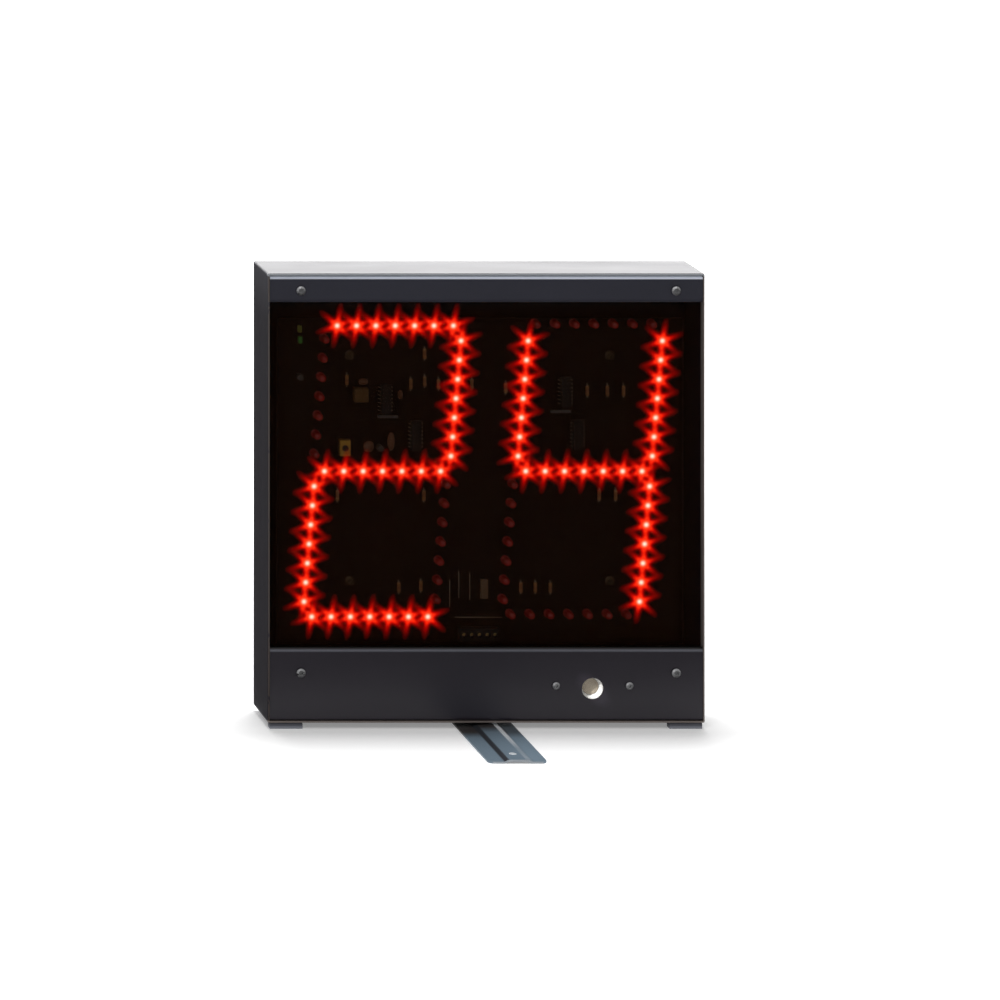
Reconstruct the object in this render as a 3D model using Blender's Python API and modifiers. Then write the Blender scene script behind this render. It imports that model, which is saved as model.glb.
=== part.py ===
"""Portable shot clock: a folded sheet case with a smoked window, two seven-segment digits of single red
LEDs on one board, a sounder, and a sheet foot that swivels under the case.

Lengths are in metres. +Z is up and the front faces -Y. The origin lies on the floor under the middle of the
case, on the axis of the foot. Pieces of the case are placed from the middle of its underside.
"""

import math

import bmesh
import bpy
from mathutils import Matrix, Vector

# Case
CASE_WIDTH = 0.286
CASE_DEPTH = 0.0425
CASE_HEIGHT = 0.294
CASE_LIFT = 0.004  # of the case above the floor
CASE_EDGE = 0.001  # radius of the case's outer edges
SHEET = 0.0012
FOLD = 0.002  # outer radius of a fold in the front panels
SEAT = 0.0003  # gap left where two pieces touch
FIT = 0.0003  # gap between the front panels and the case

# Front panels and window
UPPER_BAND = 0.0190  # from the case's top to the window opening
LOWER_BAND = 0.0493  # from the case's underside to the sill
PANEL_SET_BACK = 0.0003  # of the panels' faces behind the case's front edge
PANEL_FLANGE = 0.010
WINDOW_RECESS = 0.0045  # from the panels' faces to the window
WINDOW_THICKNESS = 0.003
WINDOW_LAP = 0.0043  # of window behind the sill
WINDOW_TAB_WIDTH = 0.032
WINDOW_TAB_BELOW_SCREW = 0.0075

# Screws through the front, and the pillars that take them
CORNER_INSET = 0.0203  # from the case's side to a corner screw, before their shift
CORNER_SHIFT = 0.0013  # of all four corner screws towards the sounder's side
CORNER_DROP = 0.0111  # from the case's top to the upper screws
CORNER_BELOW_SILL = 0.0164
SCREW_RADIUS = 0.0015
SCREW_HEAD_RADIUS = 0.003
SCREW_HEAD_HEIGHT = 0.0018
SCREW_LENGTH = 0.014
SCREW_PLAY = 0.0003  # between a screw and the hole it passes
PILLAR_ACROSS_FLATS = 0.007
COUNTERSINK_RADIUS = 0.003
# Shares of a button head's radius or height
HEAD_CROWN = 0.65
HEAD_EDGE = 0.45
SOCKET_RADIUS = 0.45
SOCKET_FLOOR = 0.25

# Digits and display board
DIGIT_INSET = 0.077  # from the case's side to a digit's centre
DIGIT_MARGIN = 0.01745  # from the opening's edge to the outer row of LEDs
DIGIT_RISE = 0.0007  # of the digits' centre above the opening's
DIGIT_HALF_WIDTH = 0.044
DIGIT_SLANT = math.radians(5)
LEDS_PER_SEGMENT = 7
LED_ROW_PITCH = 0.0127
LED_COLUMN_PITCH = 0.0126
LED_RADIUS = 0.0025
LED_HEIGHT = 0.009
LED_CLEARANCE = 0.0005  # between the LEDs and the window
LED_SIDES = 6
LED_DOME_RING = math.radians(50)  # angle of the ring between a dome's tip and its foot
BOARD_INSET = 0.010  # from the case's side to the board
BOARD_RIM = 0.0031  # of board above the top row of LEDs
BOARD_BELOW_SILL = 0.00185
BOARD_THICKNESS = 0.0016
BOARD_FIX_INSET = 0.0475  # of the board's screws from its sides
BOARD_FIX_DROP = 0.0212  # of the same screws inside the outer rows of LEDs
BOARD_SCREW_LENGTH = 0.009

# Parts on the display board
CHIP_LENGTH = 0.0195
CHIP_WIDTH = 0.0064
CHIP_HEIGHT = 0.0033
CHIP_STAND = 0.0006
CHIP_LEADS = 8
CHIP_LEAD_PITCH = 0.00254
CHIP_LEAD_WIDTH = 0.0012
CHIP_LEAD_THICKNESS = 0.0004
CHIP_NOTCH_RADIUS = 0.001
CAPACITOR_SIDE = 0.009
CAPACITOR_HEIGHT = 0.0065
TRIMMER_WIDTH = 0.007
TRIMMER_LENGTH = 0.0105
TRIMMER_HEIGHT = 0.006
TRIMMER_SCREW_RADIUS = 0.0018
CONNECTOR_WAYS = 5
CONNECTOR_PITCH = 0.00508
CONNECTOR_DEPTH = 0.008
CONNECTOR_HEIGHT = 0.0075
CONNECTOR_WELL_RADIUS = 0.0016
CONNECTOR_WELL_DEPTH = 0.003
BOARD_PART_EDGE = 0.0004  # rounding of the parts' edges
# Places on the display board: the digit, -1 for the left one, then across and up from its centre
CHIP_PLACES = ((-1, 0.0040, 0.0457), (-1, 0.0238, 0.0218), (1, -0.0098, 0.0504), (1, -0.0019, 0.0224))
CAPACITOR_PLACE = (-1, -0.0129, 0.0490)
TRIMMER_PLACE = (-1, -0.0236, 0.0143)
CONNECTOR_X = -0.0017
CONNECTOR_RISE = 0.0075  # above the board's lower edge

# Sounder behind the lower panel
SOUNDER_INSET = 0.0735  # of its middle from the case's side
SOUNDER_Z = 0.0225  # above the case's underside
SOUNDER_HOLE_RADIUS = 0.007
SOUNDER_RADIUS = 0.0175
SOUNDER_DEPTH = 0.014
SOUNDER_THROAT_DEPTH = 0.0045
SOUNDER_DISC_RADIUS = 0.0055
SOUNDER_DISC_THICKNESS = 0.0005
SOUNDER_SCREW_SPAN = 0.048
SOUNDER_SCREW_RISE = 0.002  # of its screws above its hole
SOUNDER_EAR_RADIUS = 0.0045
SOUNDER_EAR_THICKNESS = 0.003
SOUNDER_SCREW_RADIUS = 0.00125
SOUNDER_SCREW_HEAD_RADIUS = 0.0025
SOUNDER_SCREW_HEAD_HEIGHT = 0.0015
SOUNDER_SCREW_LENGTH = 0.0045

# Control board behind the display board
CONTROL_WIDTH = 0.080
CONTROL_HEIGHT = 0.070
CONTROL_STAND = 0.005  # from the case's back to the board
CONTROL_PART_ROOM = 0.0115  # between the two boards
RAIL_WIDTH = 0.006
TRANSFORMER_SIZE = (0.026, 0.022)
TRANSFORMER_PLACE = (0.019, -0.015)
PROCESSOR_SIZE = (0.012, 0.034)
PROCESSOR_PLACE = (-0.024, -0.003)
PROCESSOR_SHARE = 0.3  # of the room's height
REGULATOR_SIZE = (0.010, 0.004)
REGULATOR_PLACE = (-0.005, 0.018)
REGULATOR_SHARE = 0.8
RESERVOIR_RADIUS = 0.005
RESERVOIR_PLACES = ((0.012, 0.018), (0.025, 0.018))

# Sockets and switch in the back
SOCKET_ROW = 0.026  # their height above the case's underside
INLET_INSET = 0.063  # of the inlet's middle from the case's side
INLET_FLANGE = (0.050, 0.0225)
INLET_BODY = (0.027, 0.0195)
INLET_MOUTH = (0.0242, 0.0162)
INLET_MOUTH_DEPTH = 0.0155
INLET_MOUTH_CORNER = 0.004
INLET_DEPTH = 0.021
INLET_PIN = (0.002, 0.004)
INLET_PIN_LENGTH = 0.0125
INLET_PIN_SPREAD = 0.007
INLET_EARTH_RISE = 0.004
INLET_SCREW_SPAN = 0.040
SOCKET_FLANGE = 0.0025  # thickness of the flanges outside the back
SOCKET_CORNER = 0.003
SWITCH_CORNER = 0.0015
DATA_INSET = 0.074  # of the data socket's middle from the case's other side
DATA_FLANGE = (0.026, 0.031)
DATA_BARREL_RADIUS = 0.0115
DATA_FACE_RADIUS = 0.0095
DATA_FACE_SET_BACK = 0.0008
DATA_DEPTH = 0.015
DATA_PIN_HOLE_RADIUS = 0.0014
DATA_PIN_HOLE_DEPTH = 0.008
DATA_PIN_CIRCLE = 0.0049
RIVET_RADIUS = 0.0024
RIVET_HEIGHT = 0.001
RIVET_INSET = 0.0035  # from the flange's sides
SWITCH_FROM_INLET = 0.044
SWITCH_FLANGE = (0.015, 0.021)
SWITCH_BODY = (0.0127, 0.0189)
SWITCH_DEPTH = 0.017
SWITCH_POCKET = (0.0102, 0.0170)
ROCKER_PLAY = 0.0003  # on each side of the rocker
ROCKER_HALF_LENGTH = 0.0073
ROCKER_HORN = 0.0046  # height of the rocker's ends over its pin
ROCKER_WAIST = 0.0022  # height of its middle over its pin
ROCKER_BELLY = 0.0076  # radius of its round underside
ROCKER_PIN_RADIUS = 0.001
ROCKER_PIN_REACH = 0.0008  # of each pin into the frame
ROCKER_TILT = math.radians(12)

# Threaded inserts for a wall bracket
INSERT_SPAN = 0.100
INSERT_RADIUS = 0.004
INSERT_BORE_RADIUS = 0.0017
INSERT_LENGTH = 0.005

# Foot, its pivot and the pads
FOOT_LENGTH = 0.1925
FOOT_SHEET = 0.0012
FOOT_FLAT = 0.0102  # width of each flat that lies on the floor
FOOT_RIB_WALL = 0.0034  # run of each sloping side of the rib
FOOT_RIB_TOP = 0.0108
FOOT_RIB_RISE = 0.0013
FOOT_RIB_STEPS = 4  # flats that make the S of each sloping side
FOOT_CORNER = 0.004
FOOT_HOLE_RADIUS = 0.002
FOOT_HOLE_INSET = 0.013  # from the foot's end
PIVOT_RADIUS = 0.002
PIVOT_HEAD_RADIUS = 0.0046
PIVOT_HEAD_CLEARANCE = 0.0002  # of its thin head over the floor
FOOT_WASHER_RADIUS = 0.0065
WASHER_RADIUS = 0.0045
WASHER_THICKNESS = 0.001
NUT_ACROSS_FLATS = 0.007
NUT_HEIGHT = 0.0032
PAD_WIDTH = 0.0215
PAD_LENGTH = 0.006
PAD_SET_BACK = 0.001  # from the case's front
PAD_INSET = 0.0015  # from the case's side

# Places that follow from the sizes above
FRONT = -CASE_DEPTH / 2
BACK = CASE_DEPTH / 2
BACK_INNER = BACK - SHEET
INNER_X = CASE_WIDTH / 2 - SHEET
PANEL_FACE = FRONT + PANEL_SET_BACK
PANEL_BACK = PANEL_FACE + SHEET
WINDOW_FACE = PANEL_FACE + WINDOW_RECESS
WINDOW_BACK = WINDOW_FACE + WINDOW_THICKNESS
OPENING_TOP = CASE_HEIGHT - UPPER_BAND
SILL = LOWER_BAND
PANEL_X = INNER_X - FIT
PANEL_TOP = CASE_HEIGHT - SHEET - FIT
PANEL_BOTTOM = SHEET + FIT
DIGITS_Z = (SILL + OPENING_TOP) / 2 + DIGIT_RISE
DIGIT_REACH = (OPENING_TOP - SILL) / 2 - DIGIT_MARGIN  # from the middle row of LEDs to the top row
DIGIT_SPACING = CASE_WIDTH - 2 * DIGIT_INSET  # between the digits' centres
BOARD_WIDTH = CASE_WIDTH - 2 * BOARD_INSET
BOARD_TOP = DIGITS_Z + DIGIT_REACH + BOARD_RIM
BOARD_BOTTOM = SILL - BOARD_BELOW_SILL
BOARD_FIX_X = BOARD_WIDTH / 2 - BOARD_FIX_INSET
BOARD_FIX_RISE = DIGIT_REACH - BOARD_FIX_DROP
BOARD_FACE = WINDOW_BACK + LED_CLEARANCE + LED_HEIGHT
BOARD_BACK = BOARD_FACE + BOARD_THICKNESS
CORNER_X = CASE_WIDTH / 2 - CORNER_INSET
CORNER_PLACES = {
    "top_left": (CORNER_SHIFT - CORNER_X, CASE_HEIGHT - CORNER_DROP),
    "top_right": (CORNER_SHIFT + CORNER_X, CASE_HEIGHT - CORNER_DROP),
    "bottom_left": (CORNER_SHIFT - CORNER_X, SILL - CORNER_BELOW_SILL),
    "bottom_right": (CORNER_SHIFT + CORNER_X, SILL - CORNER_BELOW_SILL),
}
BOARD_FIX_PLACES = {
    f"{level}_{side}": (across * BOARD_FIX_X, DIGITS_Z + up * BOARD_FIX_RISE)
    for level, up in (("top", 1), ("bottom", -1))
    for side, across in (("left", -1), ("right", 1))
}
INSERT_PLACES = {
    f"{level}_{side}": (across * INSERT_SPAN / 2, DIGITS_Z + up * INSERT_SPAN / 2)
    for level, up in (("top", 1), ("bottom", -1))
    for side, across in (("left", -1), ("right", 1))
}
SOUNDER_X = CASE_WIDTH / 2 - SOUNDER_INSET
SOUNDER_SCREW_PLACES = {
    side: (SOUNDER_X + across * SOUNDER_SCREW_SPAN / 2, SOUNDER_Z + SOUNDER_SCREW_RISE)
    for side, across in (("left", -1), ("right", 1))
}
INLET_X = INLET_INSET - CASE_WIDTH / 2
SWITCH_X = INLET_X + SWITCH_FROM_INLET
DATA_X = CASE_WIDTH / 2 - DATA_INSET
CLEAR_RADIUS = SCREW_RADIUS + SCREW_PLAY
FOOT_WASHER_THICKNESS = CASE_LIFT - FOOT_RIB_RISE - FOOT_SHEET - 2 * SEAT
PIVOT_HEAD_HEIGHT = FOOT_RIB_RISE - SEAT - PIVOT_HEAD_CLEARANCE
SOCKET_BACK = BACK + SEAT  # inner side of the flanges outside the back
SOCKET_FACE = SOCKET_BACK + SOCKET_FLANGE
ROCKER_AXIS_Y = SOCKET_BACK


def clear_scene():
    for old in list(bpy.data.objects):
        bpy.data.objects.remove(old)


def new_collection(name):
    collection = bpy.data.collections.new(name)
    bpy.context.scene.collection.children.link(collection)
    return collection


def finish(name, colour, roughness, metallic=0.0, alpha=1.0):
    """A material with one Principled BSDF, its colour in linear values."""
    material = bpy.data.materials.new(name)
    material.use_nodes = True
    shader = material.node_tree.nodes["Principled BSDF"]
    shader.inputs["Base Color"].default_value = (*colour, 1)
    shader.inputs["Roughness"].default_value = roughness
    shader.inputs["Metallic"].default_value = metallic
    shader.inputs["Alpha"].default_value = alpha
    return material


def to_mesh(name, shape):
    mesh = bpy.data.meshes.new(name)
    shape.to_mesh(mesh)
    shape.free()
    return mesh


def block(name, low, high):
    """A box between two opposite corners."""
    low, high = Vector(low), Vector(high)
    shape = bmesh.new()
    size = Matrix.Diagonal((*(high - low), 1))
    bmesh.ops.create_cube(shape, size=1, matrix=Matrix.Translation((low + high) / 2) @ size)
    return to_mesh(name, shape)


def rod(name, radius, start, length, sides=12, end_radius=None, axis="Y"):
    """A round bar, or a cone, that runs from start along +Y or +Z."""
    along = Vector((0, 1, 0)) if axis == "Y" else Vector((0, 0, 1))
    turn = Matrix.Rotation(math.radians(-90 if axis == "Y" else 0), 4, "X")
    end_radius = radius if end_radius is None else end_radius
    middle = Matrix.Translation(Vector(start) + along * length / 2)
    shape = bmesh.new()
    bmesh.ops.create_cone(
        shape,
        cap_ends=True,
        segments=sides,
        radius1=radius,
        radius2=end_radius,
        depth=length,
        matrix=middle @ turn,
    )
    return to_mesh(name, shape)


def scattered(name, mesh, places):
    """One mesh that holds a copy of the given mesh at each place."""
    shape = bmesh.new()
    for place in places:
        copy = mesh.copy()
        copy.transform(Matrix.Translation(place))
        shape.from_mesh(copy)
        bpy.data.meshes.remove(copy)
    return to_mesh(name, shape)


def joined(name, meshes):
    """One mesh that holds several others, each where it is."""
    shape = bmesh.new()
    for mesh in meshes:
        shape.from_mesh(mesh)
    return to_mesh(name, shape)


def smooth(obj, angle=35):
    obj.data.shade_smooth()
    obj.data.set_sharp_from_angle(angle=math.radians(angle))


def add(name, mesh, material, parent, place=(0, 0, 0)):
    """Puts a piece in the model, its place measured from its parent."""
    obj = bpy.data.objects.new(name, mesh)
    PIECES.objects.link(obj)
    if not mesh.materials:
        mesh.materials.append(material)
    obj.parent = parent
    obj.location = place
    return obj


def combine(obj, name, mesh, operation):
    """A Boolean on obj with a helper whose mesh is given in obj's own frame."""
    helper = bpy.data.objects.new(name, mesh)
    CUTTERS.objects.link(helper)
    helper.parent = obj
    helper.hide_render = True
    helper.display_type = "WIRE"
    modifier = obj.modifiers.new(name, "BOOLEAN")
    modifier.operation = operation
    modifier.solver = "EXACT"
    modifier.object = helper


def cut(obj, name, mesh):
    combine(obj, name, mesh, "DIFFERENCE")


def fuse(obj, name, mesh):
    combine(obj, name, mesh, "UNION")


def thicken(obj, thickness, offset):
    solid = obj.modifiers.new("thickness", "SOLIDIFY")
    solid.thickness = thickness
    solid.offset = offset
    solid.use_even_offset = True


def round_folds(obj, radius, segments=3):
    bend = obj.modifiers.new("folds", "BEVEL")
    bend.width = radius
    bend.segments = segments
    bend.limit_method = "ANGLE"
    bend.angle_limit = math.radians(20)


def round_edges(obj, width, segments=2):
    edge = obj.modifiers.new("edges", "BEVEL")
    edge.width = width
    edge.segments = segments
    edge.limit_method = "ANGLE"
    edge.angle_limit = math.radians(40)


def settled(obj):
    """The object's mesh as its modifiers leave it. The object and its helpers are removed."""
    bpy.context.view_layer.update()
    graph = bpy.context.evaluated_depsgraph_get()
    mesh = bpy.data.meshes.new_from_object(obj.evaluated_get(graph))
    for helper in list(obj.children):
        bpy.data.objects.remove(helper)
    bpy.data.objects.remove(obj)
    return mesh


def turned(name, section, steps=12):
    """Revolves a half section about Z. The section runs from the top down its outer side."""
    shape = bmesh.new()
    points = [shape.verts.new((radius, 0, height)) for radius, height in section]
    for upper, lower in zip(points, points[1:]):
        shape.edges.new((upper, lower))
    obj = bpy.data.objects.new(name, to_mesh(name, shape))
    PIECES.objects.link(obj)
    screw = obj.modifiers.new("turn", "SCREW")
    screw.steps = steps
    screw.render_steps = steps
    screw.use_merge_vertices = True
    screw.merge_threshold = 0.00001
    return settled(obj)


def facing(mesh, towards):
    """Turns a mesh made about Z so that its +Z points to the front, the back or the floor."""
    angle = {"front": 90, "back": -90, "floor": 180}[towards]
    mesh.transform(Matrix.Rotation(math.radians(angle), 4, "X"))
    return mesh


def folded_sheet(name, section, length):
    """An open skin with the given (y, z) section, running along X. Its outer side is on the left of
    the section's direction, seen from +X."""
    shape = bmesh.new()
    ends = [[shape.verts.new((x, y, z)) for y, z in section] for x in (-length / 2, length / 2)]
    for a, b, c, d in zip(ends[0], ends[1], ends[1][1:], ends[0][1:]):
        shape.faces.new((a, b, c, d))
    return to_mesh(name, shape)


def flat_outline(name, points, y):
    """A flat face through (x, z) points, at the given y, facing the front."""
    shape = bmesh.new()
    shape.faces.new([shape.verts.new((x, y, z)) for x, z in points])
    return to_mesh(name, shape)


def rounded_corners(mesh, radius, segments=3):
    """Rounds the corners of a flat face."""
    shape = bmesh.new()
    shape.from_mesh(mesh)
    bmesh.ops.bevel(
        shape, geom=shape.verts[:], offset=radius, segments=segments, profile=0.5, affect="VERTICES"
    )
    shape.to_mesh(mesh)
    shape.free()
    return mesh


def rectangle(width, height, centre=(0, 0)):
    x, z = centre
    return [
        (x - width / 2, z - height / 2),
        (x + width / 2, z - height / 2),
        (x + width / 2, z + height / 2),
        (x - width / 2, z + height / 2),
    ]


# Case


def make_case(case):
    """The back, top, bottom and sides of one sheet, open to the front, with its holes."""
    half = CASE_WIDTH / 2
    mesh = block("case_shell", (-half, FRONT, 0), (half, BACK, CASE_HEIGHT))
    obj = add("case_shell", mesh, ANTHRACITE, case)
    round_edges(obj, CASE_EDGE)
    low = (-INNER_X, FRONT - SHEET, SHEET)
    cut(obj, "hollow", block("hollow", low, (INNER_X, BACK_INNER, CASE_HEIGHT - SHEET)))
    through = SHEET * 3
    start = BACK_INNER - SHEET
    sink = rod("sink", CLEAR_RADIUS, (0, BACK_INNER, 0), SHEET, end_radius=COUNTERSINK_RADIUS + SEAT)
    clear = rod("clear", CLEAR_RADIUS, (0, start, 0), through)
    corners = [(x, 0, z) for x, z in CORNER_PLACES.values()]
    cut(obj, "pillar_screw_holes", scattered("holes", clear, corners))
    cut(obj, "pillar_screw_countersinks", scattered("sinks", sink, corners))
    insert = rod("insert", INSERT_BORE_RADIUS + SCREW_PLAY, (0, start, 0), through)
    inserts = [(x, 0, z) for x, z in INSERT_PLACES.values()]
    inlet_screws = [(INLET_X + side * INLET_SCREW_SPAN / 2, 0, SOCKET_ROW) for side in (-1, 1)]
    cut(obj, "insert_holes", scattered("inserts", insert, inserts))
    cut(obj, "inlet_screw_holes", scattered("inlet_screws", clear, inlet_screws))
    for name, x, (width, height) in (
        ("inlet_cut_out", INLET_X, INLET_BODY),
        ("switch_cut_out", SWITCH_X, SWITCH_BODY),
    ):
        half = Vector((width / 2 + SEAT, 0, height / 2 + SEAT))
        centre = Vector((x, start, SOCKET_ROW))
        cut(obj, name, block(name, centre - half, centre + half + Vector((0, through, 0))))
    data_hole = rod("data", DATA_BARREL_RADIUS + SEAT, (DATA_X, start, SOCKET_ROW), through, 24)
    cut(obj, "data_cut_out", data_hole)
    pivot = rod("pivot", PIVOT_RADIUS + SCREW_PLAY, (0, 0, -SHEET), through, axis="Z")
    cut(obj, "pivot_hole", pivot)


def make_front_panels(case):
    """Two folded channels, the upper strip and the lower panel, whose inner flanges frame the window."""
    flange_end = PANEL_FACE + PANEL_FLANGE
    frame_end = WINDOW_FACE - SEAT
    upper = [
        (frame_end, OPENING_TOP),
        (PANEL_FACE, OPENING_TOP),
        (PANEL_FACE, PANEL_TOP),
        (flange_end, PANEL_TOP),
    ]
    lower = [
        (flange_end, PANEL_BOTTOM),
        (PANEL_FACE, PANEL_BOTTOM),
        (PANEL_FACE, SILL),
        (frame_end, SILL),
    ]
    clear = rod("clear", CLEAR_RADIUS, (0, PANEL_FACE - SHEET, 0), SHEET * 3)
    for name, section, level in (
        ("upper_front_strip", upper, "top"),
        ("lower_front_panel", lower, "bottom"),
    ):
        obj = add(name, folded_sheet(name, section, PANEL_X * 2), ANTHRACITE, case)
        round_folds(obj, FOLD)
        thicken(obj, SHEET, -1)
        places = [(x, 0, z) for key, (x, z) in CORNER_PLACES.items() if key.startswith(level)]
        cut(obj, level + "_screw_holes", scattered("holes", clear, places))
    panel = bpy.data.objects["lower_front_panel"]
    start = PANEL_FACE - SHEET
    hole = rod("sounder", SOUNDER_HOLE_RADIUS, (SOUNDER_X, start, SOUNDER_Z), SHEET * 3, 32)
    cut(panel, "sounder_hole", hole)
    small = rod("small", SOUNDER_SCREW_RADIUS + SCREW_PLAY, (0, start, 0), SHEET * 3)
    places = [(x, 0, z) for x, z in SOUNDER_SCREW_PLACES.values()]
    cut(panel, "sounder_screw_holes", scattered("small", small, places))


def make_window(case):
    """A clear smoked sheet behind both panels, with a tab down to each lower corner screw."""
    side = PANEL_X
    top = PANEL_TOP - SHEET - SEAT
    bottom = SILL - WINDOW_LAP
    tab = SILL - CORNER_BELOW_SILL - WINDOW_TAB_BELOW_SCREW
    inner = side - WINDOW_TAB_WIDTH
    outline = [
        (-side, tab),
        (-inner, tab),
        (-inner, bottom),
        (inner, bottom),
        (inner, tab),
        (side, tab),
        (side, top),
        (-side, top),
    ]
    obj = add("window", flat_outline("window", outline, WINDOW_FACE), SMOKED, case)
    thicken(obj, WINDOW_THICKNESS, -1)
    clear = rod("clear", CLEAR_RADIUS, (0, WINDOW_FACE - SHEET, 0), WINDOW_THICKNESS + SHEET * 2)
    places = [(x, 0, z) for x, z in CORNER_PLACES.values()]
    cut(obj, "window_screw_holes", scattered("holes", clear, places))


# Fasteners


def button_screw(name, radius, head_radius, head_height, length):
    """A button head with a hexagon socket, on a plain shank. Its head's seat is at z = 0."""
    section = [
        (0, head_height),
        (head_radius * HEAD_CROWN, head_height),
        (head_radius, head_height * HEAD_EDGE),
        (head_radius, 0),
        (radius, 0),
        (radius, -length),
        (0, -length),
    ]
    obj = bpy.data.objects.new(name, turned(name, section))
    PIECES.objects.link(obj)
    depth = head_height * (2 - SOCKET_FLOOR)
    start = (0, 0, head_height * SOCKET_FLOOR)
    cut(obj, name + "_socket", rod("socket", head_radius * SOCKET_RADIUS, start, depth, 6, axis="Z"))
    return settled(obj)


def tube(name, radius, bore, length, sides=0):
    """A spacer from z = 0 up. With sides given, its outside is a prism of that many flats."""
    if not sides:
        section = [(bore, length), (radius, length), (radius, 0), (bore, 0), (bore, length)]
        return turned(name, section)
    obj = bpy.data.objects.new(name, rod(name, radius, (0, 0, 0), length, sides, axis="Z"))
    PIECES.objects.link(obj)
    cut(obj, name + "_bore", rod("bore", bore, (0, 0, -length / 2), length * 2, axis="Z"))
    return settled(obj)


def hexagon(across_flats):
    """The radius to the corners of a hexagon."""
    return across_flats / 2 / math.cos(math.radians(30))


def make_corner_fasteners(case):
    """At each corner: screw, panel, spacer, window, pillar, back of the case, rear screw."""
    screw = button_screw("corner_screw", SCREW_RADIUS, SCREW_HEAD_RADIUS, SCREW_HEAD_HEIGHT, SCREW_LENGTH)
    facing(screw, "front")
    spacer_length = WINDOW_FACE - PANEL_BACK - 2 * SEAT
    spacer = facing(tube("corner_spacer", PILLAR_ACROSS_FLATS / 2, CLEAR_RADIUS, spacer_length), "back")
    pillar_length = BACK_INNER - WINDOW_BACK - 2 * SEAT
    pillar_radius = hexagon(PILLAR_ACROSS_FLATS)
    pillar = facing(tube("front_pillar", pillar_radius, CLEAR_RADIUS, pillar_length, 6), "back")
    rear_section = [
        (0, -SEAT),
        (COUNTERSINK_RADIUS - SEAT, -SEAT),
        (SCREW_RADIUS, -SHEET),
        (SCREW_RADIUS, -BOARD_SCREW_LENGTH),
        (0, -BOARD_SCREW_LENGTH),
    ]
    rear_screw = facing(turned("pillar_screw", rear_section), "back")
    for corner, (x, z) in CORNER_PLACES.items():
        add("corner_screw_" + corner, screw, STEEL, case, (x, PANEL_FACE - SEAT, z))
        add("corner_spacer_" + corner, spacer, STEEL, case, (x, PANEL_BACK + SEAT, z))
        add("front_pillar_" + corner, pillar, STEEL, case, (x, WINDOW_BACK + SEAT, z))
        add("pillar_screw_" + corner, rear_screw, STEEL, case, (x, BACK, z))


def make_board_fasteners(case):
    """A standoff behind the display board and a screw in front of it, at four places."""
    length = BACK_INNER - BOARD_BACK - 2 * SEAT
    radius = hexagon(PILLAR_ACROSS_FLATS)
    standoff = facing(tube("board_standoff", radius, CLEAR_RADIUS, length, 6), "back")
    screw = button_screw(
        "board_screw", SCREW_RADIUS, SCREW_HEAD_RADIUS, SCREW_HEAD_HEIGHT, BOARD_SCREW_LENGTH
    )
    facing(screw, "front")
    for corner, (x, z) in BOARD_FIX_PLACES.items():
        add("board_standoff_" + corner, standoff, STEEL, case, (x, BOARD_BACK + SEAT, z))
        add("board_screw_" + corner, screw, STEEL, case, (x, BOARD_FACE - SEAT, z))


def make_inserts(case):
    """Threaded inserts behind the back, on a square, for the screws of a wall bracket."""
    insert = facing(tube("wall_insert", INSERT_RADIUS, INSERT_BORE_RADIUS, INSERT_LENGTH), "front")
    for corner, (x, z) in INSERT_PLACES.items():
        add("wall_insert_" + corner, insert, STEEL, case, (x, BACK_INNER - SEAT, z))


# Display board


def led_places():
    """Where each LED of the two digits stands, as (x, z) from their common centre."""
    middle = (LEDS_PER_SEGMENT - 1) / 2
    steps = [count - middle for count in range(LEDS_PER_SEGMENT)]
    one_digit = [(step * LED_ROW_PITCH, row * DIGIT_REACH) for row in (-1, 0, 1) for step in steps]
    one_digit += [
        (column * DIGIT_HALF_WIDTH, half * DIGIT_REACH / 2 + step * LED_COLUMN_PITCH)
        for column in (-1, 1)
        for half in (-1, 1)
        for step in steps
    ]
    lean = math.tan(DIGIT_SLANT)
    return [
        (digit * DIGIT_SPACING / 2 + x + z * lean, z) for digit in (-1, 1) for x, z in one_digit
    ]


def make_display_board(case):
    """The board, fused with its LEDs, each a barrel with a dome."""
    low = (-BOARD_WIDTH / 2, 0, BOARD_BOTTOM - DIGITS_Z)
    high = (BOARD_WIDTH / 2, BOARD_THICKNESS, BOARD_TOP - DIGITS_Z)
    mesh = block("display_board", low, high)
    obj = add("display_board", mesh, BOARD, case, (0, BOARD_FACE, DIGITS_Z))
    clear = rod("clear", CLEAR_RADIUS, (0, -BOARD_THICKNESS, 0), BOARD_THICKNESS * 3)
    places = [(x, 0, z - DIGITS_Z) for x, z in BOARD_FIX_PLACES.values()]
    cut(obj, "board_screw_holes", scattered("holes", clear, places))
    shoulder = LED_HEIGHT - LED_RADIUS
    root = -BOARD_THICKNESS / 2
    ring = LED_RADIUS * math.sin(LED_DOME_RING)
    ring_height = shoulder + LED_RADIUS * math.cos(LED_DOME_RING)
    section = [
        (0, LED_HEIGHT),
        (ring, ring_height),
        (LED_RADIUS, shoulder),
        (LED_RADIUS, root),
        (0, root),
    ]
    led = facing(turned("led", section, LED_SIDES), "front")
    fuse(obj, "leds", scattered("leds", led, [(x, 0, z) for x, z in led_places()]))


def on_board(place):
    digit, across, up = place
    return (digit * DIGIT_SPACING / 2 + across, BOARD_FACE - SEAT, DIGITS_Z + up)


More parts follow.
